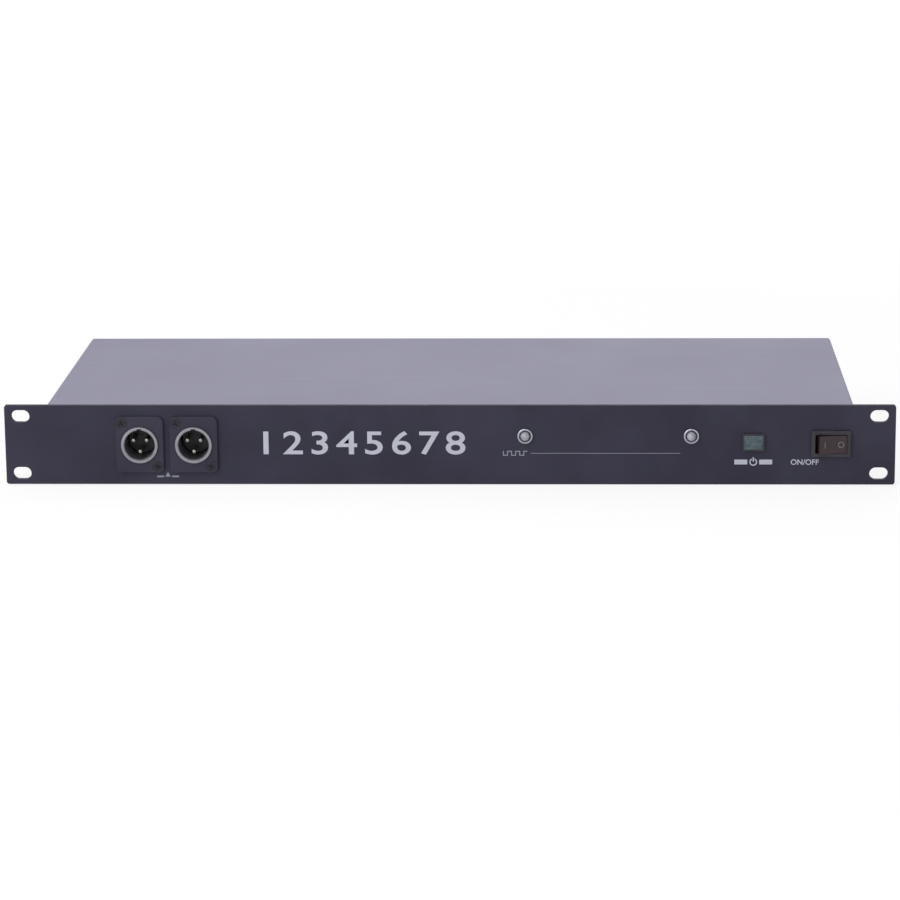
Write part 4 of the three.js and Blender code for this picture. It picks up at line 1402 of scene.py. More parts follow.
@dataclass
class Enclosure:
    """The folded cover, the tray under it, the rear panel and the four screws that hold the cover."""

    sheet: float = 1.2
    fold: float = 1.8
    cut_edge: float = 0.18
    cut_angle: float = 60.0
    tray_edge: float = 0.25
    tray_angle: float = 50.0
    rear_corner: float = 0.4
    rear_edge: float = 0.12
    socket_hole: float = 12.1
    inlet_lap_x: float = 6.8
    inlet_lap_z: float = 0.9
    inlet_hole_depth: float = 3.0
    screw_count: int = 4
    screw_hole: float = 1.7
    screw_hole_length: float = 12.0
    screw_head: CrossScrew = CrossScrew(
        radius=3.0, height=1.6, neck_share=0.98, crown=0.55, slot_width=0.8, slot_length=3.6, slot_depth=0.9
    )
    shank: float = 1.4
    shank_span: Span = (1.5, 7.6)

    def build(self) -> None:
        """Models and dresses the case behind the panel."""
        self.build_cover()
        self.build_tray()
        self.build_rear()
        self.build_screws()

    def build_cover(self) -> None:
        """Folds the cover: a bent shell open below, in front and behind."""
        low, high = millimetres("top_cover")
        cover = Workpiece.block("cover_folded", (low.x, high.x), (low.y, high.y), (low.z, high.z))
        top = high.z - NEAR
        cover.bevel(
            lambda edge: runs_along_y(edge) and edge.verts[0].co.z > top, self.fold, FOLD_STEPS, worn=True
        )
        with cover.editing():
            cover.pick_faces(lambda face: face.normal.z < -STRAIGHT or abs(face.normal.y) > STRAIGHT)
            bpy.ops.mesh.delete(type="FACE")
        modifier = cover.obj.modifiers.new("wall", "SOLIDIFY")
        modifier.thickness = self.sheet
        modifier.offset = -1.0
        modifier.use_even_offset = True
        bpy.ops.object.modifier_apply(modifier=modifier.name)
        cover.cut(*[self.hole(f"cover_screw_{index}") for index in range(1, self.screw_count + 1)])
        cover.round_over(self.cut_edge, angle=self.cut_angle)
        # The cover's greys carry painted top light.
        cover.done(IN_FRAME, (Palette.COVER, Palette.COVER_EDGE), replaces=("top_cover",), slot="cover_grey")

    def hole(self, node: str) -> Workpiece:
        """Models the tool of one screw's hole.

        Args:
            node: The screw's solid.

        Returns:
            The tool.
        """
        low, high = millimetres(node)
        at = ((low.y + high.y) / 2, (low.z + high.z) / 2)
        span = about((low.x + high.x) / 2, self.screw_hole_length)
        return Workpiece.rod("hole_tool", self.screw_hole, span, at, Axis.X, sides=SHANK_SIDES)

    def build_tray(self) -> None:
        """Takes the tray's solid with its folds eased."""
        tray = Workpiece.node("tray_folded", "base_tray")
        tray.round_over(self.tray_edge, angle=self.tray_angle)
        tray.done(IN_FRAME, (Palette.TRAY, Palette.REAR_EDGE), replaces=("base_tray",), slot="tray_grey")

    def build_rear(self) -> None:
        """Cuts the rear panel."""
        low, high = millimetres("rear_panel")
        wall = Workpiece.block("rear_wall", (low.x, high.x), (high.y - self.sheet, high.y), (low.z, high.z))
        wall.bevel_corners(self.rear_corner, segments=SMALL_STEPS)
        back = high.y + PAST
        places = [middle_of(f"output_shell_{index}") for index in range(1, SOCKET_COUNT + 1)]
        holes = [Workpiece.rod("hole_tool", self.socket_hole, (low.y, back), at) for at in places]
        first, last = millimetres("inlet_housing")
        x = (first.x + self.inlet_lap_x, last.x - self.inlet_lap_x)
        z = (first.z + self.inlet_lap_z, last.z - self.inlet_lap_z)
        holes.append(Workpiece.block("hole_tool", x, (high.y - self.inlet_hole_depth, back), z))
        wall.cut(*holes).round_over(self.rear_edge, angle=self.cut_angle)
        wall.done(IN_FRAME, (Palette.REAR, Palette.REAR_EDGE), replaces=("rear_panel",), slot="rear_grey")

    def build_screws(self) -> None:
        """Models the cover's screws once and sets them in its sides."""
        pattern = self.screw_head.build("cover_screw")
        pattern.fuse(Workpiece.rod("shank", self.shank, self.shank_span, sides=SHANK_SIDES))
        for index in range(1, self.screw_count + 1):
            low, high = millimetres(f"cover_screw_{index}")
            side = 1 if high.x > 0 else -1
            outer = Vector((high.x if side > 0 else low.x, (low.y + high.y) / 2, (low.z + high.z) / 2))
            turn = Matrix.Rotation(side * math.pi / 2, 4, "Z")
            place = Matrix.Translation(outer * MM) @ turn @ Matrix.Scale(MM, 4)
            screw = pattern.twin(f"side_screw_{index}")
            screw.done(place, (Palette.SCREW,), replaces=(f"cover_screw_{index}",), slot="screw_steel")
        pattern.drop()


# Connectors


@dataclass(frozen=True)
class SunkScrews:
    """Countersunk screws in a flange, each turned its own way, and the tools of their seats."""

    places: Steps
    turns: Span
    head: CrossScrew
    seat_profile: Steps
    top: float

    def tools(self) -> list[Workpiece]:
        """Models the tools of the countersinks."""
        profile = self.seat_profile
        return [Workpiece.turned("sink_tool", profile, at, sides=SMALL_SIDES) for at in self.places]

    def set_in(self, name: str, place: Matrix) -> None:
        """Sets the screws in their seats.

        Args:
            name: What the screws' names start with.
            place: The seat of the piece that they hold.
        """
        pattern = self.head.build("sunk_screw")
        for index, (x, z) in enumerate(self.places):
            turn = Matrix.Rotation(math.radians(self.turns[index]), 4, "Y")
            screw = pattern.twin(f"{name}_screw_{index + 1}")
            screw.turn(Matrix.Translation((x, self.top, z)) @ turn)
            screw.done(place, (Palette.DARK_SCREW,), slot="screw_steel")
        pattern.drop()


@dataclass
class Connector:
    """What the plugs and the sockets share: flange, barrel, two screws and three contacts on a circle."""

    flange: Box = ((-13.0, 13.0), (-2.0, 0.0), (-15.5, 15.5))
    flange_corner: float = 3.0
    flange_rim: float = 0.5
    barrel: Rod = (11.8, (-1.0, 20.0))
    screws: SunkScrews = SunkScrews(
        places=((-9.5, 12.0), (9.5, -12.0)), turns=(64.0, 105.0), head=CrossScrew(radius=2.85, height=1.5),
        seat_profile=((1.7, 0.1), (1.9, -0.65), (3.1, -1.9), (3.3, -2.1)), top=-1.75,
    )
    circle: float = 4.2
    contact_angles: Point = (30.0, 150.0, 270.0)
    tail: Box = ((-0.8, 0.8), (16.5, 21.0), (-0.4, 0.4))

    def flanged(self, name: str, sides: int) -> Workpiece:
        """Models the flange with its rim rounded, its screw seats sunk and the barrel behind it.

        Args:
            name: The piece's name.
            sides: The facets round the barrel.

        Returns:
            The shell, still solid.
        """
        flange = Workpiece.block(name, *self.flange)
        flange.bevel_corners(self.flange_corner, segments=FLANGE_STEPS)
        flange.bevel_rim(self.flange[1][0], self.flange_rim)
        return flange.cut(*self.screws.tools()).fuse(Workpiece.rod("barrel", *self.barrel, sides=sides))

    def contact_places(self) -> list[Span]:
        """Gives the places of the three contacts."""
        turns = [math.radians(angle) for angle in self.contact_angles]
        return [(self.circle * math.cos(turn), self.circle * math.sin(turn)) for turn in turns]

    def tails(self) -> list[Workpiece]:
        """Models the solder tails of the contacts."""
        return [Workpiece.block("tail", *beside(self.tail, at)) for at in self.contact_places()]


@dataclass
class PlugInputs(Connector):
    """The two inputs on the front: a black flange, a bright collar and an insert with three pins."""

    room: Rod = (8.75, (-4.0, 21.0))
    collar_seat: Rod = (10.07, (-3.0, -0.6))
    collar: Steps = ((8.7, 19.5), (8.7, -0.65), (10.05, -0.65), (10.05, -2.95), (9.91, -3.26), (9.55, -3.4))
    mouth: Steps = ((8.15, 21.0), (8.15, -2.9), (8.5, -3.3), (8.65, -3.7))
    notch: Box = ((-1.3, 1.3), (-4.4, 9.0), (7.15, 9.05))
    base: Steps = ((7.85, 17.0), (7.85, 13.4), (7.45, 13.0), (3.0, 13.0))
    key: Box = ((-1.1, 1.1), (4.0, 13.5), (6.65, 7.75))
    key_corner: float = 0.3
    pin: Steps = ((1.2, 13.5), (1.2, 0.3), (1.08, -0.12), (0.8, -0.38), (0.4, -0.5))

    def build(self) -> None:
        """Models one input and sets two of them."""
        shell, collar = self.build_shell(), self.build_collar()
        insert, pins = self.build_insert(), self.build_pins()
        finishes = (Palette.BLACK_SHELL, Palette.BLACK_EDGE)
        for index in (1, 2):
            place = seat(f"input_shell_{index}", Side.FRONT)
            body = shell.twin(f"plug_shell_{index}")
            body.done(place, finishes, replaces=(f"input_shell_{index}",), slot="plug_shell")
            collar.twin(f"plug_collar_{index}").done(place, (Palette.COLLAR,), slot="plug_shell")
            base = insert.twin(f"plug_insert_{index}")
            base.done(place, (Palette.NOSE,), replaces=(f"input_contacts_{index}",), slot="contact_insert")
            # The pins' dulled silver is painted shade of the mouth they sit in.
            pins.twin(f"plug_pins_{index}").done(place, (Palette.PIN,), slot="blade_metal")
            self.screws.set_in(f"plug_{index}", place)
        for pattern in (shell, collar, insert, pins):
            pattern.drop()

    def build_shell(self) -> Workpiece:
        """Models the shell with the room for the collar and for the pins."""
        tools = [Workpiece.rod("room_tool", *room) for room in (self.room, self.collar_seat)]
        return self.flanged("plug_shell", sides=ROUND_SIDES).cut(*tools)

    def build_collar(self) -> Workpiece:
        """Models the bright collar, with a notch inside its top.

        Returns:
            The collar.
        """
        mouth = Workpiece.turned("mouth_tool", self.mouth, sides=RING_SIDES)
        notch = Workpiece.block("notch_tool", *self.notch)
        return Workpiece.turned("plug_collar", self.collar, sides=RING_SIDES).cut(mouth, notch)

    def build_insert(self) -> Workpiece:
        """Models the insulating base that carries the pins."""
        key = Workpiece.block("key", *self.key).bevel_corners(self.key_corner, segments=EASED_STEPS)
        return Workpiece.turned("plug_insert", self.base).fuse(*self.tails(), key)

    def build_pins(self) -> Workpiece:
        """Models the three round-nosed pins."""
        pins = [Workpiece.turned("plug_pins", self.pin, at, sides=PIN_SIDES) for at in self.contact_places()]
        return pins[0].gather(*pins[1:])


@dataclass
class SocketOutputs(Connector):
    """The ten sockets on the back: flange and barrel, an insert with three holes, and a push latch above."""

    mouth: Steps = ((9.6, 21.0), (9.6, -1.25), (10.3, -1.95), (10.5, -2.4))
    arm_room: Box = ((-2.8, 2.8), (-3.0, 21.0), (0.0, 12.5))
    pad_room: Box = ((-5.5, 5.5), (-3.0, 0.0), (11.0, 16.5))
    nose: Steps = (
        (9.3, 17.0), (9.3, 13.0), (8.0, 13.0), (8.0, -0.8),
        (7.4, -1.4), (6.7, -1.4), (6.5, -1.15), (1.0, -1.15),
    )
    hole: Steps = ((1.2, 8.5), (1.2, -0.65), (1.7, -1.2), (1.8, -1.9))
    key_slot: Box = ((-1.2, 1.2), (-2.4, 10.0), (7.1, 9.0))
    sleeve: Rod = (1.15, (0.2, 8.2))
    sleeve_bore: Rod = (0.88, (-1.0, 7.4))
    slit: Box = ((-0.11, 0.11), (-1.0, 5.0), (-1.2, 1.2))
    figure_height: float = 1.7
    figure_bold: float = 0.02
    figure_shifts: Steps = ((-2.2, 0.0), (2.2, 0.0), (0.0, 2.4))
    number_height: float = 4.6
    number_bold: float = 0.08
    number_z: float = -18.3
    number_bars: Span = (3.6, 8.0)
    number_stroke: float = 1.3
    pad: Box = ((-5.2, 5.2), (-4.2, -1.8), (11.3, 15.5))
    pad_corner: float = 0.7
    pad_rim: float = 0.45
    groove: Box = ((-4.0, 4.0), (-5.2, -3.92), (-0.16, 0.16))
    groove_levels: Point = (12.45, 13.4, 14.35)
    arm: Box = ((-2.5, 2.5), (-3.9, 12.0), (9.9, 11.5))
    arm_corner: float = 0.3

    def build(self) -> None:
        """Models one socket and sets ten of them."""
        shell, insert, contacts = self.build_shell(), self.build_insert(), self.build_contacts()
        latch, figures = self.build_latch(), self.build_figures()
        shell_finishes = (Palette.SHELL, Palette.SHELL_EDGE)
        latch_finishes = (Palette.LATCH, Palette.LATCH_EDGE)
        for index in range(1, SOCKET_COUNT + 1):
            place = seat(f"output_shell_{index}", Side.REAR)
            body = shell.twin(f"socket_shell_{index}")
            body.done(place, shell_finishes, replaces=(f"output_shell_{index}",), slot="socket_shell")
            nose = insert.twin(f"socket_insert_{index}")
            nose.done(place, (Palette.NOSE,), replaces=(f"output_contacts_{index}",), slot="contact_insert")
            contacts.twin(f"socket_contacts_{index}").done(place, (Palette.GOLD,), slot="contact_insert")
            figures.twin(f"socket_figures_{index}").done(place, (Palette.DIM_INK,))
            press, node = latch.twin(f"socket_latch_{index}"), f"output_latch_{index}"
            press.done(place, latch_finishes, body=f"latch_{index}", replaces=(node,), slot="latch_metal")
            self.screws.set_in(f"socket_{index}", place)
            self.build_number(index).done(place, (Palette.INK,))
        for pattern in (shell, insert, contacts, latch, figures):
            pattern.drop()

    def build_shell(self) -> Workpiece:
        """Models the shell with the mouth, the latch's room and its throat.

        Returns:
            The shell.
        """
        mouth = Workpiece.turned("mouth_tool", self.mouth, sides=RING_SIDES)
        rooms = [Workpiece.block("room_tool", *room) for room in (self.arm_room, self.pad_room)]
        return self.flanged("socket_shell", sides=RING_SIDES).cut(mouth, *rooms)

    def build_insert(self) -> Workpiece:
        """Models the insert with a stepped face and three countersunk holes.

        Returns:
            The insert.
        """
        places = self.contact_places()
        tools = [Workpiece.turned("hole_tool", self.hole, at, sides=HOLE_SIDES) for at in places]
        tools.append(Workpiece.block("key_tool", *self.key_slot))
        return Workpiece.turned("socket_insert", self.nose, sides=NOSE_SIDES).cut(*tools).fuse(*self.tails())

    def build_contacts(self) -> Workpiece:
        """Models the split sleeves that line the three holes.

        Returns:
            The sleeves in one mesh.
        """
        sleeves = []
        for at in self.contact_places():
            sleeve = Workpiece.rod("socket_contacts", *self.sleeve, at, sides=PIN_SIDES)
            bore = Workpiece.rod("sleeve_tool", *self.sleeve_bore, at, sides=PIN_SIDES)
            sleeves.append(sleeve.cut(bore, Workpiece.block("slit_tool", *beside(self.slit, at))))
        return sleeves[0].gather(*sleeves[1:])

    def build_figures(self) -> Workpiece:
        """Prints a small number beside each contact hole.

        Returns:
            The print.
        """
        face = self.nose[-1][1]
        marks = []
        for index, (x, z) in enumerate(self.contact_places()):
            shift, lift = self.figure_shifts[index]
            words, at = str(index + 1), (x + shift, z + lift)
            mark = Workpiece.text("socket_figures", words, self.figure_height, at, face, self.figure_bold)
            marks.append(mark)
        return marks[0].gather(*marks[1:])

    def build_number(self, index: int) -> Workpiece:
        """Prints a socket's number between two short bars.

        Args:
            index: The number.

        Returns:
            The print.
        """
        name, at = f"rear_figure_{index}", (0, self.number_z)
        number = Workpiece.text(name, str(index), self.number_height, at, 0, self.number_bold)
        height = about(self.number_z, self.number_stroke)
        return number.gather(*PanelMarks(0).side_bars(0, self.number_bars, height))

    def build_latch(self) -> Workpiece:
        """Models the latch: a pad with grip grooves on the end of its arm.

        Returns:
            The latch.
        """
        pad = Workpiece.block("socket_latch", *self.pad)
        pad.bevel_corners(self.pad_corner).bevel_rim(self.pad[1][0], self.pad_rim)
        grooves = [Workpiece.block("groove_tool", *beside(self.groove, (0, z))) for z in self.groove_levels]
        arm = Workpiece.block("arm", *self.arm).bevel_corners(self.arm_corner, segments=EASED_STEPS)
        return pad.cut(*grooves).fuse(arm)


# Mains inlet


@dataclass
class MainsInlet:
    """The fused inlet: housing with a chamfered recess, three blades, the pull-out drawer and its fuse."""

    flange: Box = ((-21.0, 21.0), (-3.0, 0.0), (-16.75, 16.75))
    flange_corner: float = 2.0
    flange_rim: float = 0.7
    body: Box = ((-13.9, 13.9), (-1.5, 24.0), (-15.55, 15.55))
    pocket: Box = ((-12.0, 12.0), (-4.0, 16.3), (-13.65, -6.25))
    recess_x: float = 12.0
    recess_z: Span = (-2.85, 13.65)
    recess_depth: Span = (-4.0, 25.0)
    chamfer: float = 4.5
    groove_reach: Span = (1.3, 0.9)
    groove_depth: Span = (-4.0, -2.65)
    island_depth: Span = (-5.0, -1.0)
    carrier_inset: float = 0.3
    carrier_depth: Span = (14.0, 24.0)
    carrier_rim: float = 0.3
    carrier_angle: float = 50.0
    blade: Box = ((-1.0, 1.0), (-0.5, 30.0), (-2.0, 2.0))
    blade_nose: float = 0.7
    blade_places: Steps = ((-7.0, 3.4), (7.0, 3.4), (0.0, 7.4))
    screws: SunkScrews = SunkScrews(
        places=((-17.6, 0.0), (17.6, 0.0)), turns=(17.0, 34.0), head=CrossScrew(radius=2.7, height=1.4),
        seat_profile=((1.7, 1.0), (1.9, -1.7), (3.0, -2.9), (3.2, -3.1)), top=-2.75,
    )
    drawer: Box = ((-11.7, 11.7), (-4.0, 16.0), (-13.35, -6.55))
    drawer_rim: float = 0.5
    trough: Box = ((-10.3, 10.3), (3.0, 8.8), (-12.35, -4.95))
    grip: Box = ((-4.0, 4.0), (-5.0, -3.4), (-10.95, -8.95))
    grip_corner: float = 0.6
    cap_length: float = 5.0
    cap_rim: float = 0.3
    tube_wall: float = 0.3
    tube_inset: float = 4.5
    tube_rim: float = 0.2
    wire: float = 0.15
    wire_inset: float = 1.0

    def build(self) -> None:
        """Models the inlet and dresses it."""
        place = seat("inlet_housing", Side.REAR)
        housing, drawer = (Palette.INLET, Palette.INLET_EDGE), (Palette.DRAWER, Palette.INLET_EDGE)
        self.build_housing().done(place, housing, replaces=("inlet_housing",), slot="inlet_black")
        self.build_carrier().done(place, (Palette.INLET,), slot="inlet_black")
        self.build_blades().done(place, (Palette.BLADE,), replaces=("inlet_contacts",), slot="blade_metal")
        self.build_drawer().done(
            place, drawer, body="fuse_holder", replaces=("fuse_drawer",), slot="inlet_black"
        )
        self.build_fuse()
        self.screws.set_in("inlet", place)

    def recess(self, inset: float, depth: Span, name: str = "recess_tool") -> Workpiece:
        """Models a block with the recess's outline, its two upper corners cut off.

        Args:
            inset: How much smaller than the recess it is all round.
            depth: Its ends along Y.
            name: The piece's name.

        Returns:
            The block.
        """
        low, high = self.recess_z
        width = about(0, 2 * (self.recess_x - inset))
        block = Workpiece.block(name, width, depth, (low + inset, high - inset))
        middle = (low + high) / 2
        return block.bevel(
            lambda edge: runs_along_y(edge) and edge.verts[0].co.z > middle, self.chamfer, segments=1
        )

    def build_housing(self) -> Workpiece:
        """Models the housing with its recess, its drawer's pocket and its screw seats.

        Returns:
            The housing.
        """
        housing = Workpiece.block("inlet_shell", *self.flange)
        housing.bevel_corners(self.flange_corner, segments=CORNER_STEPS)
        housing.bevel_rim(self.flange[1][0], self.flange_rim)
        housing.fuse(Workpiece.block("body", *self.body))
        pocket = Workpiece.block("pocket_tool", *self.pocket)
        return housing.cut(self.recess(0, self.recess_depth), pocket, *self.screws.tools(), self.groove())

    def groove(self) -> Workpiece:
        """Models the tool of the fine groove round the recess."""
        far, near = self.groove_reach
        return self.recess(-far, self.groove_depth).cut(self.recess(-near, self.island_depth))

    def build_carrier(self) -> Workpiece:
        """Models the insulating floor of the recess."""
        floor = self.recess(self.carrier_inset, self.carrier_depth, "inlet_carrier")
        return floor.round_over(self.carrier_rim, angle=self.carrier_angle)

    def build_blades(self) -> Workpiece:
        """Models the three flat blades with rounded noses.

        Returns:
            The blades in one mesh.
        """
        blades = [Workpiece.block("inlet_blades", *beside(self.blade, at)) for at in self.blade_places]
        for blade in blades:
            blade.bevel_rim(self.blade[1][0], self.blade_nose, worn=False)
        return blades[0].gather(*blades[1:])

    def build_drawer(self) -> Workpiece:
        """Models the drawer with the trough for its fuse and the grip in its face.

        Returns:
            The drawer.
        """
        drawer = Workpiece.block("fuse_drawer_front", *self.drawer)
        drawer.bevel_rim(self.drawer[1][0], self.drawer_rim)
        grip = Workpiece.block("grip_tool", *self.grip).bevel_corners(self.grip_corner, segments=SMALL_STEPS)
        return drawer.cut(Workpiece.block("trough_tool", *self.trough), grip)

    def build_fuse(self) -> None:
        """Models the fuse: a glass tube with a wire, between two bright caps."""
        low, high = millimetres("fuse_link")
        at = ((low.y + high.y) / 2, (low.z + high.z) / 2)
        radius = (high.z - low.z) / 2
        caps = []
        for ends in ((low.x, low.x + self.cap_length), (high.x - self.cap_length, high.x)):
            cap = Workpiece.rod("fuse_caps", radius, ends, at, Axis.X, sides=SMALL_SIDES)
            caps.append(cap.bevel(is_sharp, self.cap_rim, segments=EASED_STEPS))
        ends = (low.x + self.wire_inset, high.x - self.wire_inset)
        metal = caps[0].gather(caps[1], Workpiece.rod("wire", self.wire, ends, at, Axis.X, sides=WIRE_SIDES))
        metal.done(IN_FRAME, (Palette.BLADE,), body="fuse_holder", slot="fuse_glass")
        ends = (low.x + self.tube_inset, high.x - self.tube_inset)
        tube = Workpiece.rod("fuse_tube", radius - self.tube_wall, ends, at, Axis.X, sides=SMALL_SIDES)
        tube.bevel(is_sharp, self.tube_rim, segments=EASED_STEPS)
        tube.done(IN_FRAME, (Palette.GLASS,), body="fuse_holder", replaces=("fuse_link",), slot="fuse_glass")


# Front controls


@dataclass
class PowerSwitch:
    """The rocker switch on its side: a black frame and a dark red rocker with its two marks."""

    bezel: Box = ((-10.7, 10.7), (-2.0, 0.0), (-7.3, 7.3))
    bezel_corner: float = 1.2
    bezel_rim: float = 0.6
    body: Box = ((-9.7, 9.7), (-1.0, 20.0), (-6.3, 6.3))
    window: Box = ((-8.6, 8.6), (-3.0, 10.0), (-5.2, 5.2))
    terminal: Box = ((-0.4, 0.4), (19.5, 25.0), (-2.4, 2.4))
    terminal_places: Steps = ((-7.0, 0.0), (0.0, 0.0), (7.0, 0.0))
    pivot_depth: float = 1.4
    tilt: float = math.radians(10)
    rocker_half: float = 7.6
    rocker_width: float = 9.8
    rocker_middle: float = -4.4
    rocker_back: float = 0.1
    rocker_rim: float = 0.45
    rim_reach: float = 0.05
    heel: Box = ((-3.0, 3.0), (-0.5, 5.6), (-4.7, 4.7))
    trunnion: Rod = (1.0, (-5.8, 5.8))
    mark_x: float = 4.4
    bar: Box = ((-0.275, 0.275), (-0.04, 0.04), (-1.7, 1.7))
    ring: Rod = (1.7, (-0.04, 0.04))
    ring_hole: Rod = (1.2, (-1.0, 1.0))

    def build(self) -> None:
        """Models the switch and dresses it."""
        place = seat("switch_frame", Side.FRONT)
        finishes = (Palette.SWITCH, Palette.SWITCH_EDGE)
        self.build_frame().done(place, finishes, replaces=("switch_frame",), slot="switch_black")
        lean = Matrix.Translation((0, self.pivot_depth, 0)) @ Matrix.Rotation(self.tilt, 4, "Z")
        rocker = self.build_rocker().turn(lean)
        rocker.done(place, (Palette.ROCKER,), body="rocker", replaces=("switch_rocker",), slot="rocker_red")
        for mark in self.build_marks():
            mark.turn(lean).done(place, (Palette.ROCKER_INK,), body="rocker")

    def build_frame(self) -> Workpiece:
        """Models the frame with a rounded bezel, its window and its terminals.

        Returns:
            The frame.
        """
        case = Workpiece.block("switch_bezel", *self.bezel)
        case.bevel_corners(self.bezel_corner, segments=CORNER_STEPS)
        case.bevel_rim(self.bezel[1][0], self.bezel_rim)
        case.fuse(Workpiece.block("body", *self.body)).cut(Workpiece.block("window_tool", *self.window))
        boxes = [beside(self.terminal, at) for at in self.terminal_places]
        return case.fuse(*[Workpiece.block("terminal", *box) for box in boxes])

    def face(self, distance: float) -> float:
        """Gives the Y of the rocker's face at a distance from its middle."""
        return self.rocker_middle - distance * math.tan(self.tilt)

    def build_rocker(self) -> Workpiece:
        """Models the rocker, hollowed along its middle, about its own pivot.

        Returns:
            The rocker.
        """
        middle, end = self.rocker_middle, self.face(self.rocker_half)
        width, height = about(0, 2 * self.rocker_half), about(0, self.rocker_width)
        rocker = Workpiece.block("rocker_paddle", width, (end, self.rocker_back), height)

        def on_fold(edge: bmesh.types.BMEdge) -> bool:
            """Tells whether an edge is the middle one of the face."""
            corners = [corner.co for corner in edge.verts]
            return all(abs(corner.x) < NEAR and abs(corner.y - end) < NEAR for corner in corners)

        def on_face(edge: bmesh.types.BMEdge) -> bool:
            """Tells whether an edge is a sharp one of the face."""
            return all(corner.co.y < middle + self.rim_reach for corner in edge.verts) and is_sharp(edge)

        with rocker.editing():
            bpy.ops.mesh.select_all(action="SELECT")
            bpy.ops.mesh.bisect(plane_co=(0, 0, 0), plane_no=(1, 0, 0))
            rocker.pick_edges(on_fold)
            bpy.ops.transform.translate(value=(0, middle - end, 0))
        rocker.bevel(on_face, self.rocker_rim)
        trunnion = Workpiece.rod("trunnion", *self.trunnion, axis=Axis.Z, sides=SHANK_SIDES)
        return rocker.fuse(Workpiece.block("heel", *self.heel), trunnion)

    def build_marks(self) -> list[Workpiece]:
        """Models the bar and the ring that mark on and off.

        Returns:
            The two marks.
        """
        bar = Workpiece.block("rocker_mark_on", *self.bar)
        ring = Workpiece.rod("rocker_mark_off", *self.ring, sides=SMALL_SIDES)
        ring.cut(Workpiece.rod("ring_tool", *self.ring_hole, sides=SMALL_SIDES))
        for mark, side in ((bar, -1), (ring, 1)):
            move = Matrix.Translation((side * self.mark_x, self.face(self.mark_x), 0))
            mark.turn(move @ Matrix.Rotation(-side * self.tilt, 4, "Z"))
        return [bar, ring]


@dataclass
class Lamps:
    """Two round signal lamps in bright bezels and the oblong power lamp."""

    bezel: Steps = (
        (3.4, 7.0), (3.4, 0.0), (4.2, 0.0), (4.2, -0.85), (4.08, -1.18), (3.8, -1.38), (3.45, -1.4),
    )
    bezel_bore: Steps = ((2.8, 8.0), (2.8, -0.9), (3.3, -1.35), (3.4, -1.7))
    lens: Steps = ((3.3, 8.2), (3.3, 7.05), (2.5, 7.05), (2.5, -1.4))
    dome: float = 2.4
    dome_steps: int = 9
    dome_arc: float = 90.0
    lead: Box = ((-0.3, 0.3), (7.8, 14.0), (-0.3, 0.3))
    lead_places: Steps = ((-1.27, 0.0), (1.27, 0.0))
    holder: Box = ((-6.0, 6.0), (-1.5, 0.0), (-4.8, 4.8))
    holder_corner: float = 0.6
    holder_rim: float = 0.35
    holder_body: Box = ((-5.0, 5.0), (-0.5, 14.0), (-3.8, 3.8))
    holder_window: Box = ((-5.1, 5.1), (-3.0, 6.0), (-3.9, 3.9))
    power_lens: Box = ((-5.05, 5.05), (-1.9, 6.0), (-3.85, 3.85))
    power_lens_rim: float = 0.5
    ridge: Rod = (0.55, (-4.35, 4.35))
    ridge_y: float = -1.72
    ridge_pitch: float = 0.9
    ridge_count: int = 7
    ridge_turn: float = math.radians(45)

    def build(self) -> None:
        """Models the lamps and dresses them."""
        bezel, lens = self.build_bezel(), self.build_lens()
        for index in (1, 2):
            place = seat(f"signal_bezel_{index}", Side.FRONT)
            ring = bezel.twin(f"lamp_bezel_{index}")
            ring.done(place, (Palette.CHROME,), replaces=(f"signal_bezel_{index}",), slot="bezel_chrome")
            dome = lens.twin(f"lamp_lens_{index}")
            # The lens's near-white colour is painted highlight.
            dome.done(place, (Palette.LENS,), replaces=(f"signal_lens_{index}",), slot="signal_lens")
        for pattern in (bezel, lens):
            pattern.drop()
        place = seat("power_lamp", Side.FRONT)
        finishes = (Palette.SWITCH, Palette.SWITCH_EDGE)
        self.build_holder().done(place, finishes, replaces=("power_lamp",), slot="power_lens")
        self.build_power_lens().done(place, (Palette.POWER,), slot="power_lens")

    def build_bezel(self) -> Workpiece:
        """Models the bezel with a rolled rim and a dished seat for the lens."""
        return Workpiece.turned("lamp_bezel", self.bezel).cut(Workpiece.turned("bore_tool", self.bezel_bore))

    def build_lens(self) -> Workpiece:
        """Models the domed lens with its base flange and two leads.

        Returns:
            The lens.
        """
        radius, front = self.lens[-1]
        profile = list(self.lens)
        for step in range(1, self.dome_steps):
            turn = math.radians(self.dome_arc * step / self.dome_steps)
            profile.append((radius * math.cos(turn), front - self.dome * math.sin(turn)))
        leads = [Workpiece.block("lead", *beside(self.lead, at)) for at in self.lead_places]
        return Workpiece.turned("lamp_lens", profile, sides=LENS_SIDES).fuse(*leads)

    def build_holder(self) -> Workpiece:
        """Models the black holder of the oblong lamp, open in front.

        Returns:
            The holder.
        """
        rim = Workpiece.block("power_holder", *self.holder)
        rim.bevel_corners(self.holder_corner).bevel_rim(self.holder[1][0], self.holder_rim)
        body = Workpiece.block("body", *self.holder_body)
        return rim.fuse(body).cut(Workpiece.block("window_tool", *self.holder_window))

    def build_power_lens(self) -> Workpiece:
        """Models the oblong lens, ribbed across its face.

        Returns:
            The lens.
        """
        lens = Workpiece.block("power_lens", *self.power_lens)
        lens.bevel_rim(self.power_lens[1][0], self.power_lens_rim, worn=False)
        ridges = []
        for index in range(self.ridge_count):
            at = (self.ridge_y, (index - self.ridge_count // 2) * self.ridge_pitch)
            ridge = Workpiece.rod("ridge", *self.ridge, at, Axis.X, sides=SQUARE)
            ridges.append(ridge.turn(turned_about(self.ridge_turn, "X", (0, *at))))
        return lens.fuse(*ridges)


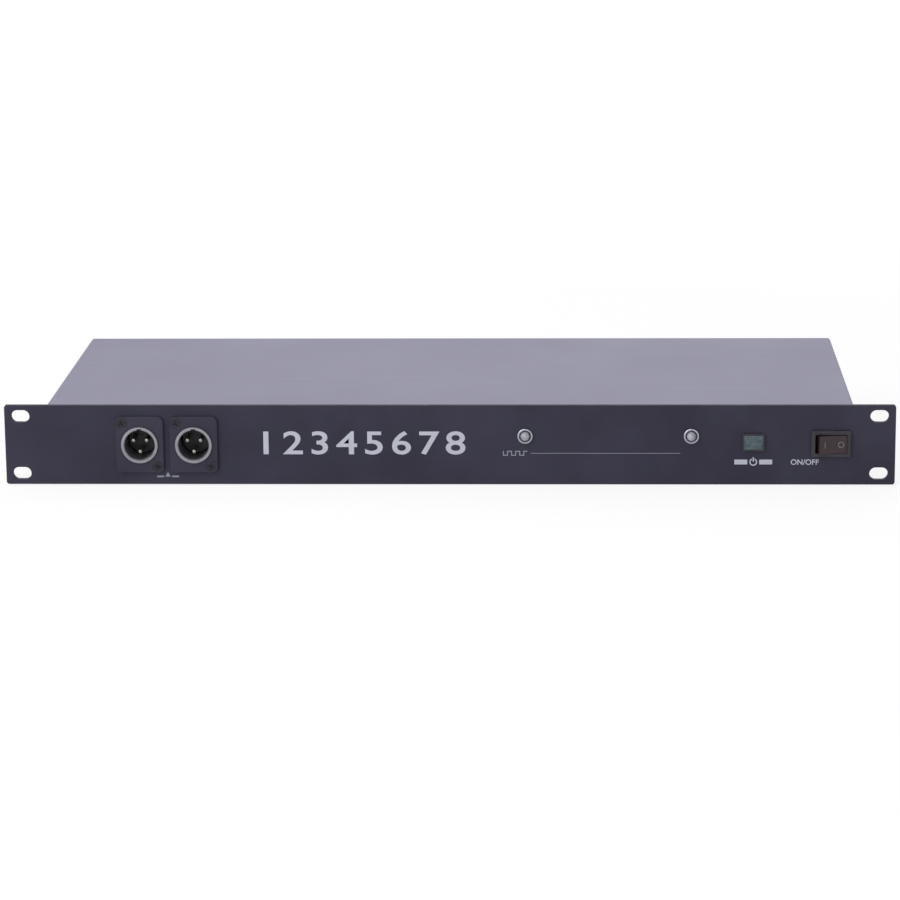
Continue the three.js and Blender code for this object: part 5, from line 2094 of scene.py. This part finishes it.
@dataclass
class RatingPlate:
    """The bare silver plate beside the inlet, with an embossed border and empty ruled rows."""

    corner: float = 1.0
    border: float = 1.0
    thickness: float = 0.5
    relief: float = 0.12
    rule_margin: float = 2.5
    rule_depth: Span = (-0.4, -0.36)
    rule_stroke: float = 0.25
    rule_levels: Point = (-3.0, 0.0, 3.0)
    rule_easing: float = 0.1

    def build(self) -> None:
        """Models the plate and dresses it."""
        low, high = millimetres("rating_plate")
        place = seat("rating_plate", Side.REAR)
        width, height = high.x - low.x, high.z - low.z
        plate = Workpiece.block("rating_plate_bare", about(0, width), (-self.thickness, 0), about(0, height))
        plate.bevel_corners(self.corner, segments=CORNER_STEPS).sink_face(self.border, self.relief)
        plate.done(place, (Palette.PLATE,), replaces=("rating_plate",), slot="plate_silver")
        span = about(0, width - 2 * self.rule_margin)
        for index, z in enumerate(self.rule_levels, start=1):
            rule = Workpiece.block(f"rating_rule_{index}", span, self.rule_depth, about(z, self.rule_stroke))
            rule.bevel_corners(self.rule_easing, segments=EASED_STEPS).done(place, (Palette.DIM_INK,))


class Electronics:
    """The boards, the transformer and the leads inside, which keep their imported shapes."""

    FINISHES: ClassVar[dict[str, Finish]] = {
        "output_board": Palette.BOARD,
        "input_board": Palette.BOARD,
        "power_board": Palette.BOARD,
        "transformer": Palette.IRON,
        "signal_ribbon": Palette.RIBBON,
        "mains_loom": Palette.LOOM,
    }

    def build(self) -> None:
        """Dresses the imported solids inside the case."""
        for node, finish in self.FINISHES.items():
            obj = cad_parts[node]
            obj.data.materials.clear()
            obj.data.materials.append(finish.material())
            LOG.info("%s keeps its solid", node)


# Studio


@dataclass(frozen=True)
class SoftLamp:
    """One soft square lamp that faces the object: its place, its side and its power in watts."""

    name: str
    place: Point
    size: float
    power: float

    def hang(self) -> None:
        """Hangs the lamp in the scene."""
        data = bpy.data.lights.new(self.name, "AREA")
        data.shape = "SQUARE"
        data.size = self.size
        data.energy = self.power
        lamp = bpy.data.objects.new(self.name, data)
        bpy.context.scene.collection.objects.link(lamp)
        lamp.location = self.place
        lamp.rotation_euler = (-Vector(self.place)).to_track_quat("-Z", "Y").to_euler()


@dataclass(frozen=True)
class Studio:
    """The camera, the pale floor, the soft lamps and the white surroundings."""

    camera_place: Point = (0.0703, -1.8743, 0.4461)
    yaw: float = math.radians(2.2266)
    pitch: float = math.radians(-13.4512)
    roll: float = math.radians(-0.4962)
    lens: float = 135.48
    sensor: float = 36.0
    clip: Span = (0.05, 60.0)
    world_strength: float = 0.42
    floor_size: float = 24.0
    floor_drop: float = 0.0004
    floor_colour: Rgb = (244, 244, 246)
    floor_roughness: float = 0.8
    floor_shadow_share: float = 0.3
    floor_shadow_reach: Span = (0.5, 1.4)
    floor_glow: float = 1.15
    lamps: tuple[SoftLamp, ...] = (
        SoftLamp("key_lamp", (-0.9, -0.95, 1.45), 1.5, 10.5),
        SoftLamp("fill_lamp", (-0.95, -1.0, 0.5), 1.1, 4.0),
        SoftLamp("back_lamp", (0.3, 1.7, 1.3), 1.5, 5.0),
    )

    def build(self) -> None:
        """Sets up the whole studio."""
        self.build_camera()
        self.build_world()
        self.build_floor()
        for lamp in self.lamps:
            lamp.hang()
        bpy.context.scene.view_settings.view_transform = "Standard"

    def build_camera(self) -> None:
        """Sets the camera at the photograph's angle."""
        data = bpy.data.cameras.new("camera")
        data.lens = self.lens
        data.sensor_width = self.sensor
        data.clip_start, data.clip_end = self.clip
        camera = bpy.data.objects.new("camera", data)
        bpy.context.scene.collection.objects.link(camera)
        turn = Matrix.Rotation(self.yaw, 4, "Z") @ Matrix.Rotation(math.pi / 2 + self.pitch, 4, "X")
        place = Matrix.Translation(self.camera_place)
        camera.matrix_world = place @ turn @ Matrix.Rotation(self.roll, 4, "Z")
        bpy.context.scene.camera = camera

    def seen(self, tree: bpy.types.NodeTree) -> bpy.types.NodeSocket:
        """Adds the test for rays that show the surroundings themselves.

        Args:
            tree: The node tree.

        Returns:
            One for camera, glossy and transmission rays, zero for the rest.
        """
        path = tree.nodes.new("ShaderNodeLightPath")
        last = path.outputs["Is Camera Ray"]
        for name in ("Is Glossy Ray", "Is Transmission Ray"):
            larger = tree.nodes.new("ShaderNodeMath")
            larger.operation = "MAXIMUM"
            tree.links.new(last, larger.inputs[0])
            tree.links.new(path.outputs[name], larger.inputs[1])
            last = larger.outputs[0]
        return last

    def build_world(self) -> None:
        """Makes the surroundings white to the eye and an even soft light to the object."""
        world = bpy.data.worlds.new("surroundings")
        world.use_nodes = True
        tree = world.node_tree
        tree.nodes.clear()
        light = tree.nodes.new("ShaderNodeBackground")
        light.inputs["Strength"].default_value = self.world_strength
        shown = tree.nodes.new("ShaderNodeBackground")
        mixed = tree.nodes.new("ShaderNodeMixShader")
        output = tree.nodes.new("ShaderNodeOutputWorld")
        for background in (light, shown):
            background.inputs["Color"].default_value = WHITE
        tree.links.new(self.seen(tree), mixed.inputs[0])
        tree.links.new(light.outputs[0], mixed.inputs[1])
        tree.links.new(shown.outputs[0], mixed.inputs[2])
        tree.links.new(mixed.outputs[0], output.inputs[0])
        bpy.context.scene.world = world

    def build_floor(self) -> None:
        """Lays the plain pale floor, which keeps a soft part of the object's shadow."""
        bpy.ops.object.select_all(action="DESELECT")
        bpy.ops.mesh.primitive_plane_add(size=self.floor_size, location=(0, 0, -self.floor_drop))
        floor = bpy.context.object
        floor.name = "floor"
        bpy.ops.object.transform_apply(location=True)
        graph = Graph("floor_white")
        graph.set(Base_Color=linear(self.floor_colour), Roughness=self.floor_roughness)
        glow = graph.node("ShaderNodeEmission", Strength=self.floor_glow)
        glow.inputs["Color"].default_value = WHITE
        reach = graph.node("ShaderNodeVectorMath", {"operation": "LENGTH"})
        graph.feed(reach.inputs[0], graph.place)
        near = 1 - self.floor_shadow_share
        fade = graph.spread(reach.outputs["Value"], self.floor_shadow_reach, (near, 1))
        mixed = graph.node("ShaderNodeMixShader")
        graph.feed(mixed.inputs[0], graph.math("MULTIPLY", self.seen(graph.tree), fade))
        graph.feed(mixed.inputs[1], graph.shader.outputs[0])
        graph.feed(mixed.inputs[2], glow.outputs[0])
        graph.feed(graph.output.inputs["Surface"], mixed.outputs[0])
        floor.data.materials.append(graph.material)


def main() -> None:
    """Builds the studio and every sub-assembly in order."""
    logging.basicConfig(level=logging.INFO, format="%(name)s: %(message)s")
    Studio().build()
    for assembly in (
        FrontPanel(), Enclosure(), PlugInputs(), SocketOutputs(), MainsInlet(), PowerSwitch(), Lamps(),
        RatingPlate(), Electronics(),
    ):
        LOG.info("building %s", type(assembly).__name__)
        assembly.build()


if __name__ == "__main__":
    main()
